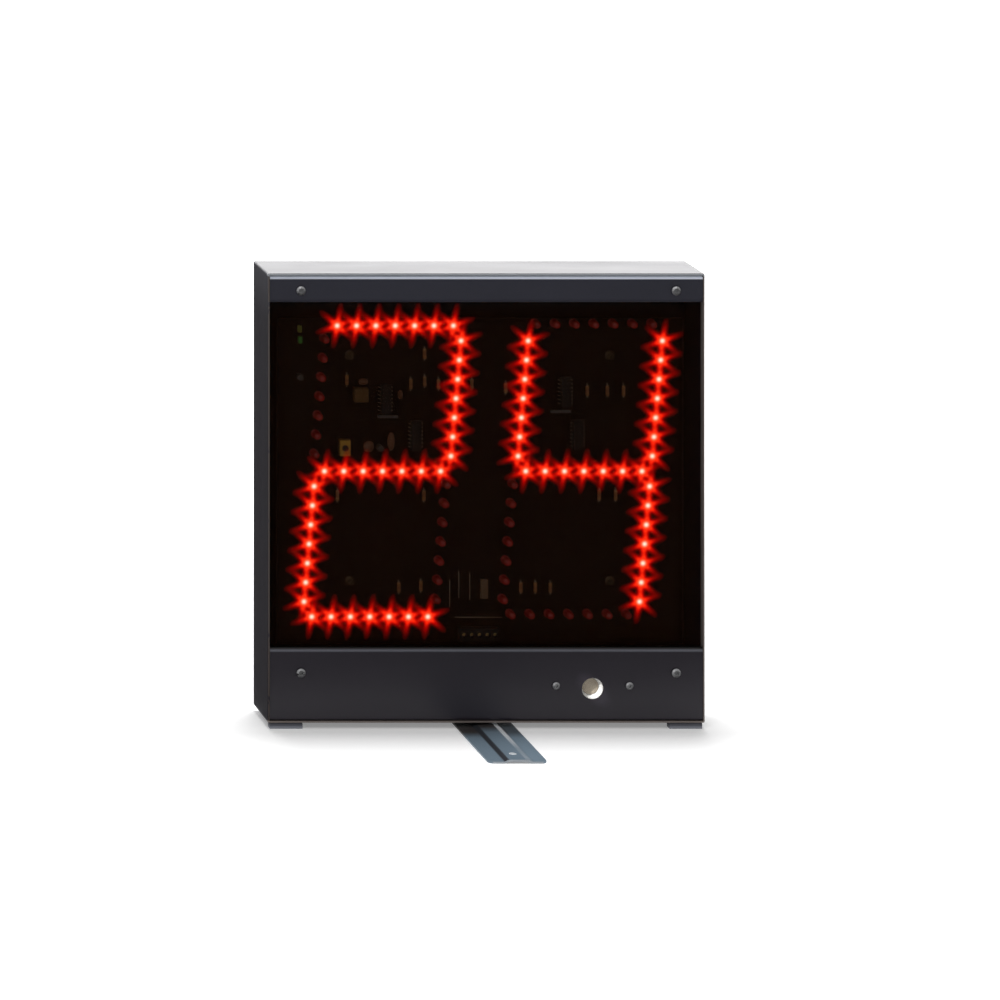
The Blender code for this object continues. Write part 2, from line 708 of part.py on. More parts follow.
def make_board_parts(case):
    """Driver chips, box capacitor, trimmer and five-way connector, on the display board's front."""
    chip = block(
        "driver_chip",
        (-CHIP_WIDTH / 2, -CHIP_STAND - CHIP_HEIGHT, -CHIP_LENGTH / 2),
        (CHIP_WIDTH / 2, -CHIP_STAND, CHIP_LENGTH / 2),
    )
    proto = bpy.data.objects.new("driver_chip", chip)
    PIECES.objects.link(proto)
    lead_top = CHIP_STAND + CHIP_HEIGHT * 0.55
    leads = []
    for side in (-1, 1):
        for step in range(CHIP_LEADS):
            z = (step - (CHIP_LEADS - 1) / 2) * CHIP_LEAD_PITCH
            inner = side * (CHIP_WIDTH / 2 - CHIP_LEAD_THICKNESS)
            outer = side * (CHIP_WIDTH / 2 + CHIP_LEAD_THICKNESS)
            low = (min(inner, outer), -lead_top, z - CHIP_LEAD_WIDTH / 2)
            leads.append(block("lead", low, (max(inner, outer), 0, z + CHIP_LEAD_WIDTH / 2)))
    fuse(proto, "chip_leads", joined("leads", leads))
    notch_start = (0, -CHIP_STAND - CHIP_HEIGHT * 1.2, CHIP_LENGTH / 2)
    cut(proto, "chip_notch", rod("notch", CHIP_NOTCH_RADIUS, notch_start, CHIP_HEIGHT * 0.5, 12))
    chip = settled(proto)
    for number, place in enumerate(CHIP_PLACES, 1):
        add(f"driver_chip_{number}", chip, CHIP_BLACK, case, on_board(place))

    half = CAPACITOR_SIDE / 2
    body = block("box_capacitor", (-half, -CAPACITOR_HEIGHT, -half), (half, 0, half))
    round_edges(add("box_capacitor", body, AMBER, case, on_board(CAPACITOR_PLACE)), BOARD_PART_EDGE)

    body = block(
        "trimmer",
        (-TRIMMER_WIDTH / 2, -TRIMMER_HEIGHT, -TRIMMER_LENGTH / 2),
        (TRIMMER_WIDTH / 2, 0, TRIMMER_LENGTH / 2),
    )
    obj = add("trimmer", body, CREAM, case, on_board(TRIMMER_PLACE))
    round_edges(obj, BOARD_PART_EDGE)
    well_start = (0, -TRIMMER_HEIGHT * 1.1, 0)
    cut(obj, "trimmer_well", rod("well", TRIMMER_SCREW_RADIUS, well_start, TRIMMER_HEIGHT * 0.3))

    half = CONNECTOR_WAYS * CONNECTOR_PITCH / 2
    body = block(
        "board_connector",
        (-half, -CONNECTOR_HEIGHT, -CONNECTOR_DEPTH / 2),
        (half, 0, CONNECTOR_DEPTH / 2),
    )
    place = (CONNECTOR_X, BOARD_FACE - SEAT, BOARD_BOTTOM + CONNECTOR_RISE)
    obj = add("board_connector", body, CREAM, case, place)
    start = (0, -CONNECTOR_HEIGHT - CONNECTOR_WELL_DEPTH, 0)
    well = rod("well", CONNECTOR_WELL_RADIUS, start, CONNECTOR_WELL_DEPTH * 2, 12)
    middle = (CONNECTOR_WAYS - 1) / 2
    places = [((way - middle) * CONNECTOR_PITCH, 0, 0) for way in range(CONNECTOR_WAYS)]
    cut(obj, "connector_wells", scattered("wells", well, places))


def make_control_board(case):
    """The board with the supply and the clock's logic, held off the back by two rails."""
    half_width, half_height = CONTROL_WIDTH / 2, CONTROL_HEIGHT / 2
    back = BACK_INNER - CONTROL_STAND
    face = -BOARD_THICKNESS
    low, high = (-half_width, face, -half_height), (half_width, 0, half_height)
    place = (0, back, DIGITS_Z)
    obj = add("control_board", block("control_board", low, high), BOARD, case, place)
    room = back - BOARD_THICKNESS - BOARD_BACK - SEAT
    tall = min(CONTROL_PART_ROOM, room - SEAT)
    root = face / 2
    parts = []
    for name, (width, height), (x, z), share in (
        ("transformer", TRANSFORMER_SIZE, TRANSFORMER_PLACE, 1),
        ("processor", PROCESSOR_SIZE, PROCESSOR_PLACE, PROCESSOR_SHARE),
        ("regulator", REGULATOR_SIZE, REGULATOR_PLACE, REGULATOR_SHARE),
    ):
        low = (x - width / 2, face - tall * share, z - height / 2)
        parts.append(block(name, low, (x + width / 2, root, z + height / 2)))
    fuse(obj, "control_parts", joined("control_parts", parts))
    start, length = (0, face - tall, 0), tall + BOARD_THICKNESS / 2
    reservoir = rod("reservoir", RESERVOIR_RADIUS, start, length, 20)
    places = [(x, 0, z) for x, z in RESERVOIR_PLACES]
    fuse(obj, "reservoirs", scattered("reservoirs", reservoir, places))
    for side, across in (("left", -1), ("right", 1)):
        middle = across * (half_width - RAIL_WIDTH / 2)
        rail = block(
            "control_rail",
            (middle - RAIL_WIDTH / 2, back + SEAT, -half_height),
            (middle + RAIL_WIDTH / 2, BACK_INNER - SEAT, half_height),
        )
        add("control_rail_" + side, rail, CREAM, case, (0, 0, DIGITS_Z))


# Sounder


def make_sounder(case):
    """A round body with two ears, whose white throat narrows to the disc at its bottom."""
    top = 0
    floor = -SOUNDER_THROAT_DEPTH
    pocket = floor - SOUNDER_DISC_THICKNESS - SEAT
    section = [
        (0, pocket),
        (SOUNDER_DISC_RADIUS + SEAT, pocket),
        (SOUNDER_DISC_RADIUS + SEAT, floor),
        (SOUNDER_HOLE_RADIUS, top),
        (SOUNDER_RADIUS, top),
        (SOUNDER_RADIUS, top - SOUNDER_DEPTH),
        (0, top - SOUNDER_DEPTH),
    ]
    body = facing(turned("sounder_body", section, 32), "front")
    place = Vector((SOUNDER_X, PANEL_BACK + SEAT, SOUNDER_Z))
    obj = add("sounder_body", body, SOUNDER_WHITE, case, place)
    ear = rod("ear", SOUNDER_EAR_RADIUS, (0, 0, 0), SOUNDER_EAR_THICKNESS)
    reach = SOUNDER_SCREW_SPAN / 2
    ends = [(across * reach, 0, SOUNDER_SCREW_RISE) for across in (-1, 1)]
    bar_root = SOUNDER_RADIUS * 0.8
    for side, across in (("left", -1), ("right", 1)):
        inner, outer = sorted((across * bar_root, across * reach))
        low = (inner, 0, SOUNDER_SCREW_RISE - SOUNDER_EAR_RADIUS)
        high = (outer, SOUNDER_EAR_THICKNESS, SOUNDER_SCREW_RISE + SOUNDER_EAR_RADIUS)
        fuse(obj, "ear_bar_" + side, block("ear_bar", low, high))
    fuse(obj, "ears", scattered("ears", ear, ends))
    hole = rod("hole", SOUNDER_SCREW_RADIUS + SCREW_PLAY, (0, -SHEET, 0), SOUNDER_EAR_THICKNESS * 2)
    cut(obj, "ear_holes", scattered("holes", hole, ends))

    disc = facing(
        turned(
            "sounder_disc",
            [
                (0, pocket + SEAT + SOUNDER_DISC_THICKNESS),
                (SOUNDER_DISC_RADIUS, pocket + SEAT + SOUNDER_DISC_THICKNESS),
                (SOUNDER_DISC_RADIUS, pocket + SEAT),
                (0, pocket + SEAT),
            ],
            24,
        ),
        "front",
    )
    add("sounder_disc", disc, BRASS, case, place)
    screw = button_screw(
        "sounder_screw",
        SOUNDER_SCREW_RADIUS,
        SOUNDER_SCREW_HEAD_RADIUS,
        SOUNDER_SCREW_HEAD_HEIGHT,
        SOUNDER_SCREW_LENGTH,
    )
    facing(screw, "front")
    for side, (x, z) in SOUNDER_SCREW_PLACES.items():
        add("sounder_screw_" + side, screw, STEEL, case, (x, PANEL_FACE - SEAT, z))


# Sockets and switch


def make_power_inlet(case):
    """A three-pin mains inlet: flange outside the back, body through it, and a mouth with two chamfers."""
    place = (INLET_X, SOCKET_BACK, SOCKET_ROW)
    flange = rounded_corners(flat_outline("power_inlet", rectangle(*INLET_FLANGE), 0), SOCKET_CORNER)
    obj = add("power_inlet", flange, BLACK_PLASTIC, case, place)
    thicken(obj, SOCKET_FLANGE, -1)
    width, height = INLET_BODY
    low = (-width / 2, -INLET_DEPTH, -height / 2)
    fuse(obj, "inlet_body", block("body", low, (width / 2, SOCKET_FLANGE / 2, height / 2)))
    width, height = INLET_MOUTH
    corner = INLET_MOUTH_CORNER
    outline = [
        (-width / 2, -height / 2),
        (width / 2, -height / 2),
        (width / 2, height / 2 - corner),
        (width / 2 - corner, height / 2),
        (corner - width / 2, height / 2),
        (-width / 2, height / 2 - corner),
    ]
    mouth_floor = SOCKET_FLANGE - INLET_MOUTH_DEPTH
    mouth = bpy.data.objects.new("mouth", flat_outline("mouth", outline, mouth_floor))
    PIECES.objects.link(mouth)
    thicken(mouth, INLET_MOUTH_DEPTH * 2, -1)
    cut(obj, "inlet_mouth", settled(mouth))
    pin_x, pin_z = INLET_PIN
    pins = []
    for x, z in ((-INLET_PIN_SPREAD, 0), (INLET_PIN_SPREAD, 0), (0, INLET_EARTH_RISE)):
        low = (x - pin_x / 2, mouth_floor - SHEET, z - pin_z / 2)
        pins.append(block("pin", low, (x + pin_x / 2, mouth_floor + INLET_PIN_LENGTH, z + pin_z / 2)))
    fuse(obj, "inlet_pins", joined("pins", pins))
    clear = rod("clear", CLEAR_RADIUS, (0, -SHEET, 0), SOCKET_FLANGE * 3)
    sides = [(across * INLET_SCREW_SPAN / 2, 0, 0) for across in (-1, 1)]
    cut(obj, "inlet_flange_holes", scattered("holes", clear, sides))
    screw = button_screw(
        "inlet_screw", SCREW_RADIUS, SCREW_HEAD_RADIUS, SCREW_HEAD_HEIGHT, BOARD_SCREW_LENGTH
    )
    facing(screw, "back")
    for side, (x, _, z) in zip(("left", "right"), sides):
        seat = (INLET_X + x, SOCKET_FACE + SEAT, SOCKET_ROW + z)
        add("inlet_screw_" + side, screw, STEEL, case, seat)


def make_switch(case):
    """The switch's frame, with a pocket for the rocker and a bearing hole in each side wall."""
    place = (SWITCH_X, SOCKET_BACK, SOCKET_ROW)
    flange = rounded_corners(flat_outline("rocker_frame", rectangle(*SWITCH_FLANGE), 0), SWITCH_CORNER)
    obj = add("rocker_frame", flange, BLACK_PLASTIC, case, place)
    thicken(obj, SOCKET_FLANGE - SEAT, -1)
    width, height = SWITCH_BODY
    low = (-width / 2, -SWITCH_DEPTH, -height / 2)
    fuse(obj, "switch_body", block("body", low, (width / 2, SOCKET_FLANGE / 2, height / 2)))
    width, height = SWITCH_POCKET
    axis_y = ROCKER_AXIS_Y - SOCKET_BACK
    floor = axis_y - ROCKER_BELLY - ROCKER_PLAY
    low, high = (-width / 2, floor, -height / 2), (width / 2, SOCKET_FLANGE * 2, height / 2)
    cut(obj, "switch_pocket", block("pocket", low, high))
    reach = width / 2 + ROCKER_PIN_REACH + ROCKER_PLAY
    bearing = rod("bearing", ROCKER_PIN_RADIUS + ROCKER_PLAY, (0, 0, -reach), reach * 2, axis="Z")
    bearing.transform(Matrix.Rotation(math.radians(90), 4, "Y"))
    bearing.transform(Matrix.Translation((0, axis_y, 0)))
    cut(obj, "switch_bearings", bearing)


def make_rocker(case):
    """The rocker: a waisted top and a round belly about its pins, at rest with its upper end pressed."""
    pivot = bpy.data.objects.new("rocker_pivot", None)
    PIECES.objects.link(pivot)
    pivot.parent = case
    pivot.location = (SWITCH_X, ROCKER_AXIS_Y, SOCKET_ROW)
    half = ROCKER_HALF_LENGTH
    start = math.acos(half / ROCKER_BELLY)
    arc = 8
    section = [(half, ROCKER_HORN), (0, ROCKER_WAIST), (-half, ROCKER_HORN)]
    for step in range(arc + 1):
        angle = math.pi + start + (math.pi - 2 * start) * step / arc
        section.append((ROCKER_BELLY * math.cos(angle), ROCKER_BELLY * math.sin(angle)))
    width = SWITCH_POCKET[0] - 2 * ROCKER_PLAY
    shape = bmesh.new()
    shape.faces.new([shape.verts.new((-width / 2, y, z)) for z, y in section])
    mesh = to_mesh("power_rocker", shape)
    mesh.transform(Matrix.Rotation(ROCKER_TILT, 4, "X"))
    obj = add("power_rocker", mesh, BLACK_PLASTIC, pivot)
    thicken(obj, width, -1)
    reach = SWITCH_POCKET[0] / 2 + ROCKER_PIN_REACH
    pin = rod("pin", ROCKER_PIN_RADIUS, (0, 0, -reach), reach * 2, axis="Z")
    pin.transform(Matrix.Rotation(math.radians(90), 4, "Y"))
    fuse(obj, "rocker_pins", pin)


def make_data_socket(case):
    """A round three-way socket on a chassis flange, with a rivet at two opposite corners."""
    place = (DATA_X, SOCKET_BACK, SOCKET_ROW)
    flange = rounded_corners(flat_outline("data_socket", rectangle(*DATA_FLANGE), 0), SOCKET_CORNER)
    obj = add("data_socket", flange, BLACK_PLASTIC, case, place)
    thicken(obj, SOCKET_FLANGE, -1)
    barrel = rod("barrel", DATA_BARREL_RADIUS, (0, -DATA_DEPTH, 0), DATA_DEPTH + SOCKET_FLANGE / 2, 24)
    fuse(obj, "data_barrel", barrel)
    groove_floor = SOCKET_FLANGE - DATA_FACE_SET_BACK
    groove = rod("groove", DATA_FACE_RADIUS, (0, groove_floor, 0), DATA_FACE_SET_BACK * 3, 24)
    cut(obj, "data_face", groove)
    start = (0, groove_floor - DATA_PIN_HOLE_DEPTH, 0)
    hole = rod("hole", DATA_PIN_HOLE_RADIUS, start, DATA_PIN_HOLE_DEPTH * 2, 12)
    angles = [math.radians(90 + 90 * step) for step in (-1, 0, 1)]
    pins = [(DATA_PIN_CIRCLE * math.cos(a), 0, DATA_PIN_CIRCLE * math.sin(a)) for a in angles]
    cut(obj, "data_pin_holes", scattered("holes", hole, pins))
    section = [
        (0, RIVET_HEIGHT),
        (RIVET_RADIUS / 2, RIVET_HEIGHT),
        (RIVET_RADIUS, 0),
        (RIVET_RADIUS, -SOCKET_FLANGE / 2),
        (0, -SOCKET_FLANGE / 2),
    ]
    rivet = facing(turned("rivet", section), "back")
    across, up = (side / 2 - RIVET_INSET for side in DATA_FLANGE)
    places = [(-across, SOCKET_FLANGE, up), (across, SOCKET_FLANGE, -up)]
    fuse(obj, "data_rivets", scattered("rivets", rivet, places))


# Foot and pads


def make_foot(scene_root):
    """A hat-section bar of bent sheet that turns about the pivot screw under the case."""
    pivot = bpy.data.objects.new("foot_pivot", None)
    PIECES.objects.link(pivot)
    pivot.parent = scene_root
    top = FOOT_RIB_TOP / 2
    toe = top + FOOT_RIB_WALL
    edge = toe + FOOT_FLAT
    shares = [step / FOOT_RIB_STEPS for step in range(FOOT_RIB_STEPS + 1)]
    slope = [(FOOT_RIB_WALL * share, FOOT_RIB_RISE * share**2 * (3 - 2 * share)) for share in shares]
    left = [(-toe + run, rise) for run, rise in slope]
    right = [(toe - run, rise) for run, rise in reversed(slope)]
    section = [(-edge, 0), *left, *right, (edge, 0)]
    mesh = folded_sheet("stand_foot", section, FOOT_LENGTH)
    shape = bmesh.new()
    shape.from_mesh(mesh)
    ends = [corner for corner in shape.verts if abs(abs(corner.co.y) - edge) < SEAT]
    bmesh.ops.bevel(
        shape, geom=ends, offset=FOOT_CORNER, segments=4, profile=0.5, affect="VERTICES"
    )
    shape.to_mesh(mesh)
    shape.free()
    mesh.transform(Matrix.Rotation(math.radians(90), 4, "Z"))
    obj = add("stand_foot", mesh, ZINC, pivot)
    thicken(obj, FOOT_SHEET, 1)
    height = FOOT_RIB_RISE + FOOT_SHEET
    pivot_hole = rod("pivot", PIVOT_RADIUS + SCREW_PLAY, (0, 0, 0), height * 2, axis="Z")
    cut(obj, "foot_pivot_hole", pivot_hole)
    end_hole = rod("end", FOOT_HOLE_RADIUS, (0, 0, 0), height * 2, axis="Z")
    reach = FOOT_LENGTH / 2 - FOOT_HOLE_INSET
    cut(obj, "foot_end_holes", scattered("ends", end_hole, [(0, -reach, 0), (0, reach, 0)]))


def make_pivot(case):
    """Screw, washers and nut that hold the foot under the case."""
    head_seat = FOOT_RIB_RISE - SEAT - CASE_LIFT
    washer_seat = SHEET + SEAT
    nut_seat = washer_seat + WASHER_THICKNESS + SEAT
    tip = nut_seat + NUT_HEIGHT + WASHER_THICKNESS
    section = [
        (0, PIVOT_HEAD_HEIGHT),
        (PIVOT_HEAD_RADIUS * 0.8, PIVOT_HEAD_HEIGHT),
        (PIVOT_HEAD_RADIUS, PIVOT_HEAD_HEIGHT / 2),
        (PIVOT_HEAD_RADIUS, 0),
        (PIVOT_RADIUS, 0),
        (PIVOT_RADIUS, head_seat - tip),
        (0, head_seat - tip),
    ]
    screw = facing(turned("pivot_screw", section), "floor")
    add("pivot_screw", screw, STEEL, case, (0, 0, head_seat))
    bore = PIVOT_RADIUS + SCREW_PLAY
    washer = tube("pivot_washer", WASHER_RADIUS, bore, WASHER_THICKNESS)
    add("pivot_washer", washer, STEEL, case, (0, 0, washer_seat))
    spacer = tube("foot_washer", FOOT_WASHER_RADIUS, bore, FOOT_WASHER_THICKNESS)
    add("foot_washer", spacer, BLACK_PLASTIC, case, (0, 0, -SEAT - FOOT_WASHER_THICKNESS))
    nut = tube("pivot_nut", hexagon(NUT_ACROSS_FLATS), bore, NUT_HEIGHT, 6)
    add("pivot_nut", nut, STEEL, case, (0, 0, nut_seat))


def make_pads(case):
    """Two pads that keep the case level, at the front of its underside's ends."""
    middle = CASE_WIDTH / 2 - PAD_INSET - PAD_WIDTH / 2
    front = FRONT + PAD_SET_BACK
    low = (-PAD_WIDTH / 2, front, -CASE_LIFT)
    high = (PAD_WIDTH / 2, front + PAD_LENGTH, -SEAT)
    for side, across in (("left", -1), ("right", 1)):
        pad = add("foot_pad_" + side, block("foot_pad", low, high), PAD_GREY, case, (across * middle, 0, 0))
        round_edges(pad, FIT)


clear_scene()
PIECES = new_collection("shot_clock")
CUTTERS = new_collection("cutters")

ANTHRACITE = finish("anthracite paint", (0.027, 0.026, 0.034), 0.35)
SMOKED = finish("smoked acrylic", (0.010, 0.006, 0.004), 0.08, alpha=0.5)
STEEL = finish("zinced steel", (0.45, 0.44, 0.43), 0.35, 1.0)
ZINC = finish("blue zinc", (0.14, 0.19, 0.24), 0.35, 1.0)
BOARD = finish("circuit board", (0.020, 0.012, 0.008), 0.5)
CHIP_BLACK = finish("chip plastic", (0.012, 0.012, 0.012), 0.5)
AMBER = finish("amber capacitor", (0.45, 0.22, 0.04), 0.4)
CREAM = finish("cream plastic", (0.62, 0.55, 0.36), 0.5)
SOUNDER_WHITE = finish("sounder white", (0.85, 0.85, 0.83), 0.4)
BRASS = finish("sounder disc", (0.30, 0.26, 0.20), 0.4, 0.6)
BLACK_PLASTIC = finish("black plastic", (0.015, 0.015, 0.016), 0.45)
PAD_GREY = finish("pad rubber", (0.035, 0.045, 0.055), 0.7)

ROOT = bpy.data.objects.new("shot_clock_origin", None)
PIECES.objects.link(ROOT)
CASE = bpy.data.objects.new("case_frame", None)
PIECES.objects.link(CASE)
CASE.parent = ROOT
CASE.location = (0, 0, CASE_LIFT)

make_case(CASE)
make_front_panels(CASE)
make_window(CASE)
make_corner_fasteners(CASE)
make_board_fasteners(CASE)
make_inserts(CASE)
make_display_board(CASE)
make_board_parts(CASE)
make_control_board(CASE)
make_sounder(CASE)
make_power_inlet(CASE)
make_switch(CASE)
make_rocker(CASE)
make_data_socket(CASE)
make_foot(ROOT)
make_pivot(CASE)
make_pads(CASE)

for piece in PIECES.objects:
    if piece.type == "MESH":
        smooth(piece)
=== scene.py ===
"""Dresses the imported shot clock: satin paint, smoked window, LEDs with their starlight, the small parts of
the display board, the sockets, the swivelling foot and the stage that it stands on.

Lengths are in metres. +Z is up and the digits face -Y. Every piece is made where it belongs, so its object
stays at the origin.
"""

import math

import bmesh
import bpy
import numpy as np
from bpy.props import FloatProperty, FloatVectorProperty, IntProperty, PointerProperty
from mathutils import Matrix, Vector


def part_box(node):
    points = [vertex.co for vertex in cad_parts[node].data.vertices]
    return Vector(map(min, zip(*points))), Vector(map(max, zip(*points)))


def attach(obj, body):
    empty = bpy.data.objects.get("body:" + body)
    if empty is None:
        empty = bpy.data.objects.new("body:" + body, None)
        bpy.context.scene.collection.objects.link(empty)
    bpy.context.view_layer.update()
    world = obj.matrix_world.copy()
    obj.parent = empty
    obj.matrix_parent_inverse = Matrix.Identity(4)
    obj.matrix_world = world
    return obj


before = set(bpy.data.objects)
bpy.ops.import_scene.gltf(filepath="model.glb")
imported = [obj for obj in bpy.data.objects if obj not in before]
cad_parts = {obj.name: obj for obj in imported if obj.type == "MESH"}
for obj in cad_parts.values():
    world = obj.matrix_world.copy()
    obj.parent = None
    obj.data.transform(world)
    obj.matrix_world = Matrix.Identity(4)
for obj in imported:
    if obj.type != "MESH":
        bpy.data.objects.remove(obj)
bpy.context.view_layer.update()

bl_info = {
    "name": "Shot clock",
    "version": (1, 0, 0),
    "blender": (4, 5, 0),
    "location": "3D View > Sidebar > Shot clock",
    "description": "Dresses a packed shot clock with its finishes, LEDs, board parts and stage",
    "category": "Object",
}

MM = 0.001

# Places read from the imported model
BOARD_LOW, BOARD_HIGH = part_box("display_board")
CASE_LOW, CASE_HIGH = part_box("case_shell")
WINDOW_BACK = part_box("window")[1].y
BOARD_THICKNESS = 1.6 * MM
DIGITS_BELOW_TOP = 98.5 * MM
LED_TIP = BOARD_LOW.y
BOARD_FACE = BOARD_HIGH.y - BOARD_THICKNESS
DIGITS_Z = BOARD_HIGH.z - DIGITS_BELOW_TOP
CASE_FRONT = CASE_LOW.y

# Segments a to g as bits 0 to 6 of each figure from 0 to 9
SEGMENTS = 7
FIGURES = (0x3F, 0x06, 0x5B, 0x4F, 0x66, 0x6D, 0x7D, 0x07, 0x7F, 0x6F)
LEDS_PER_SEGMENT = 7

# The starlight's colour by its level, from 0 to 1. Under the first stop the sheet fades out
STARLIGHT_STOPS = (
    (0.21, (0.207, 0.0006, 0.0003)),
    (0.38, (0.373, 0.0033, 0.0010)),
    (0.50, (0.497, 0.0070, 0.0014)),
    (0.60, (0.600, 0.0125, 0.0025)),
    (0.67, (0.600, 0.0950, 0.0320)),
    (0.85, (0.610, 0.3200, 0.2670)),
    (1.00, (0.640, 0.6000, 0.3800)),
)

# The red light's share of that level, how sharply the round glow ends, how much wider a ray gets towards its
# tip, and the darkest light that the sheet keeps
RED_SHARE = 0.6
GLOW_STEEPNESS = 3.2
RAY_WIDENING = 0.58
DARKEST_LIGHT = 0.012

# Share of the light that the window's smoke stops
WINDOW_COVER = 0.33

# Tones of what is too small for a setting of its own
DEEP_SHADE = (0.001, 0.001, 0.001)
FOLD_SHINE = (0.93, 0.96, 1.0)
HOLE_SHINE = (0.93, 0.97, 1.0)
TRIMMER_SIDES = (0.10, 0.040, 0.006)

# Small parts of the display board, in millimetres across and up from the digits' centre. The ceramics add
# their width and height, and the bus wire is given by its two ends and its level
RESISTORS = (
    (-36.4, 75.3), (-36.4, 57.2), (-45.5, 55.5), (-27.3, 55.5), (-87.5, 58.1), (-5.4, 55.5), (16.9, 52.9),
    (70.5, 51.0), (83.7, 51.0), (94.3, 51.0), (-93.7, -17.8), (-36.9, -17.8), (78.3, -17.5), (89.1, -17.5),
    (-53.4, -78.2), (-38.9, -77.2), (26.8, -78.2), (36.3, -78.2), (46.2, -78.5),
)
JUMPERS = ((-13.8, -76.5), (-6.6, -77.9), (-19.8, -82.5))
BUS = (-16.0, 14.4, -98.0)
NETWORKS = ((2.7, -79.2),)
CERAMICS = (
    (-77.2, 57.4, 6.4, 4.4),
    (-73.6, 14.8, 7.0, 7.6),
    (-58.9, 18.2, 4.8, 12.2),
    (-52.8, 48.8, 3.2, 6.2),
)
PILOTS = ((-118.6, 91.8), (-118.3, 84.6))
CRYSTALS = ((-60.7, 34.1), (52.8, 37.4))
ELECTROLYTICS = ((-118.8, 60.5), (-66.3, 13.9))


def colour_property(name, description, value):
    return FloatVectorProperty(
        name=name, description=description, default=value, size=3, min=0, max=1, subtype="COLOR"
    )


def length_property(name, description, value):
    return FloatProperty(name=name, description=description, default=value, min=0, unit="LENGTH")


class CLOCK_PG_case(bpy.types.PropertyGroup):
    """Colours of the case, its window and its metal parts."""

    paint: colour_property("Paint", "Satin paint of the case and the front panels", (0.0190, 0.0160, 0.0222))
    strip: colour_property("Strip", "Paint of the strip over the window", (0.0240, 0.0240, 0.0350))
    bare_edge: colour_property("Bare edge", "Cut edge of the case's sheet", (0.060, 0.047, 0.042))
    # Bare cut edge at the bottom, and painted light inside the right wall near the front
    bare_and_lit_lip: colour_property("Bare and lit lip", "Inside of the case's front edge: bare, with painted light where it is in shade", (0.240, 0.203, 0.185))
    # Bare cut edge along the top, and painted light on the underside just behind it
    top_edge_and_lit_gap: colour_property("Top edge and lit gap", "Cut edge along the top, and painted light just inside it", (0.245, 0.257, 0.275))
    # Painted shade on the foot
    foot_shade: colour_property("Foot shade", "Painted shade on one fold of the foot and towards its end", (0.030, 0.033, 0.040))
    # Painted shadow of the case on the foot
    case_shadow: colour_property("Case shadow", "Painted shadow of the case on the foot", (0.050, 0.044, 0.044))
    cut: colour_property("Cut", "Cut ends of the foot", (0.30, 0.33, 0.36))
    # Painted highlight on the front panels' folds, also a faint painted light high on the case's left side
    fold_highlight: colour_property("Fold highlights", "Painted highlight on the panels' folds, and faint painted light on the case's left side", (0.68, 0.72, 0.83))
    smoke: colour_property("Smoke", "Tint of the window", (0.0108, 0.0032, 0.0008))
    steel: colour_property("Steel", "Screws and spacers", (0.22, 0.22, 0.225))
    zinc: colour_property("Zinc", "Blue passivated sheet of the foot", (0.150, 0.205, 0.255))
    plastic: colour_property("Plastic", "Sockets and switch", (0.014, 0.014, 0.015))
    rubber: colour_property("Rubber", "Pads under the case", (0.070, 0.073, 0.090))
    # Painted light on the lower half of the pads
    lit_lower: colour_property("Lit rubber", "Painted light on the lower half of the pads", (0.30, 0.31, 0.36))
    throat: colour_property("Throat", "Moulded body of the sounder", (0.86, 0.86, 0.84))
    disc: colour_property("Disc", "Sounder's disc", (0.34, 0.29, 0.225))


class CLOCK_PG_display(bpy.types.PropertyGroup):
    """The count that is shown, and the sizes and colours of the LEDs and their starlight."""

    count: IntProperty(name="Count", description="Seconds shown", default=24, min=0, max=99)
    spacing: length_property("Digit spacing", "Between the digits' centres", 0.132)
    reach: length_property("Digit reach", "From the middle row of LEDs to the top row", 0.0954)
    half_width: length_property("Digit half width", "From a digit's centre to its side columns", 0.044)
    slant: FloatProperty(
        name="Slant", description="Lean of the digits", default=math.radians(5), subtype="ANGLE"
    )
    row_pitch: length_property("Row pitch", "Between the LEDs of a row", 0.0127)
    column_pitch: length_property("Column pitch", "Between the LEDs of a column", 0.0126)
    led_radius: length_property("LED radius", "Of the barrel and its dome", 0.00252)
    flange_radius: length_property("Flange radius", "Of the rim at an LED's foot", 0.0029)
    ray_length: length_property("Ray length", "Of the six rays round a lit LED", 0.0180)
    ray_fade: length_property("Ray fade", "Length over which a ray falls to a third", 0.00466)
    ray_width: length_property("Ray width", "Half width of a ray at its root", 0.00124)
    ray_level: FloatProperty(name="Ray level", description="Red light at a ray's root", default=2.8, min=0)
    ray_turn: FloatProperty(
        name="Ray turn", description="Angle of the first ray", default=math.radians(19.6), subtype="ANGLE"
    )
    glow_radius: length_property("Glow radius", "Of the round glow about a lit LED", 0.00420)
    glow_level: FloatProperty(name="Glow level", description="Red light of the glow", default=0.67, min=0)
    core_radius: length_property("Core radius", "Of the pale core of a lit LED", 0.00147)
    glow_step: length_property("Glow step", "Mesh size of the starlight", 0.0006)
    dark: colour_property("Unlit", "Plastic of an LED that is off", (0.36, 0.014, 0.008))


class CLOCK_PG_board(bpy.types.PropertyGroup):
    """Colours of the display board and its small parts."""

    mask: colour_property("Solder mask", "Coating of the boards", (0.0035, 0.0007, 0.0003))
    trace: colour_property("Traces", "Tracks under the coating", (0.010, 0.0035, 0.0015))
    resistor: colour_property("Resistors", "Their bodies", (0.34, 0.155, 0.032))
    band: colour_property("Bands", "Their dark colour bands", (0.15, 0.028, 0.008))
    amber: colour_property("Amber", "Box capacitor", (0.11, 0.045, 0.004))
    yellow: colour_property("Trimmer", "Body of the trimmer, and the board's rails", (0.46, 0.22, 0.018))
    ceramic: colour_property("Ceramic", "Dipped ceramic capacitors", (0.135, 0.046, 0.015))
    chip: colour_property("Chips", "Moulded black plastic", (0.010, 0.0070, 0.0055))


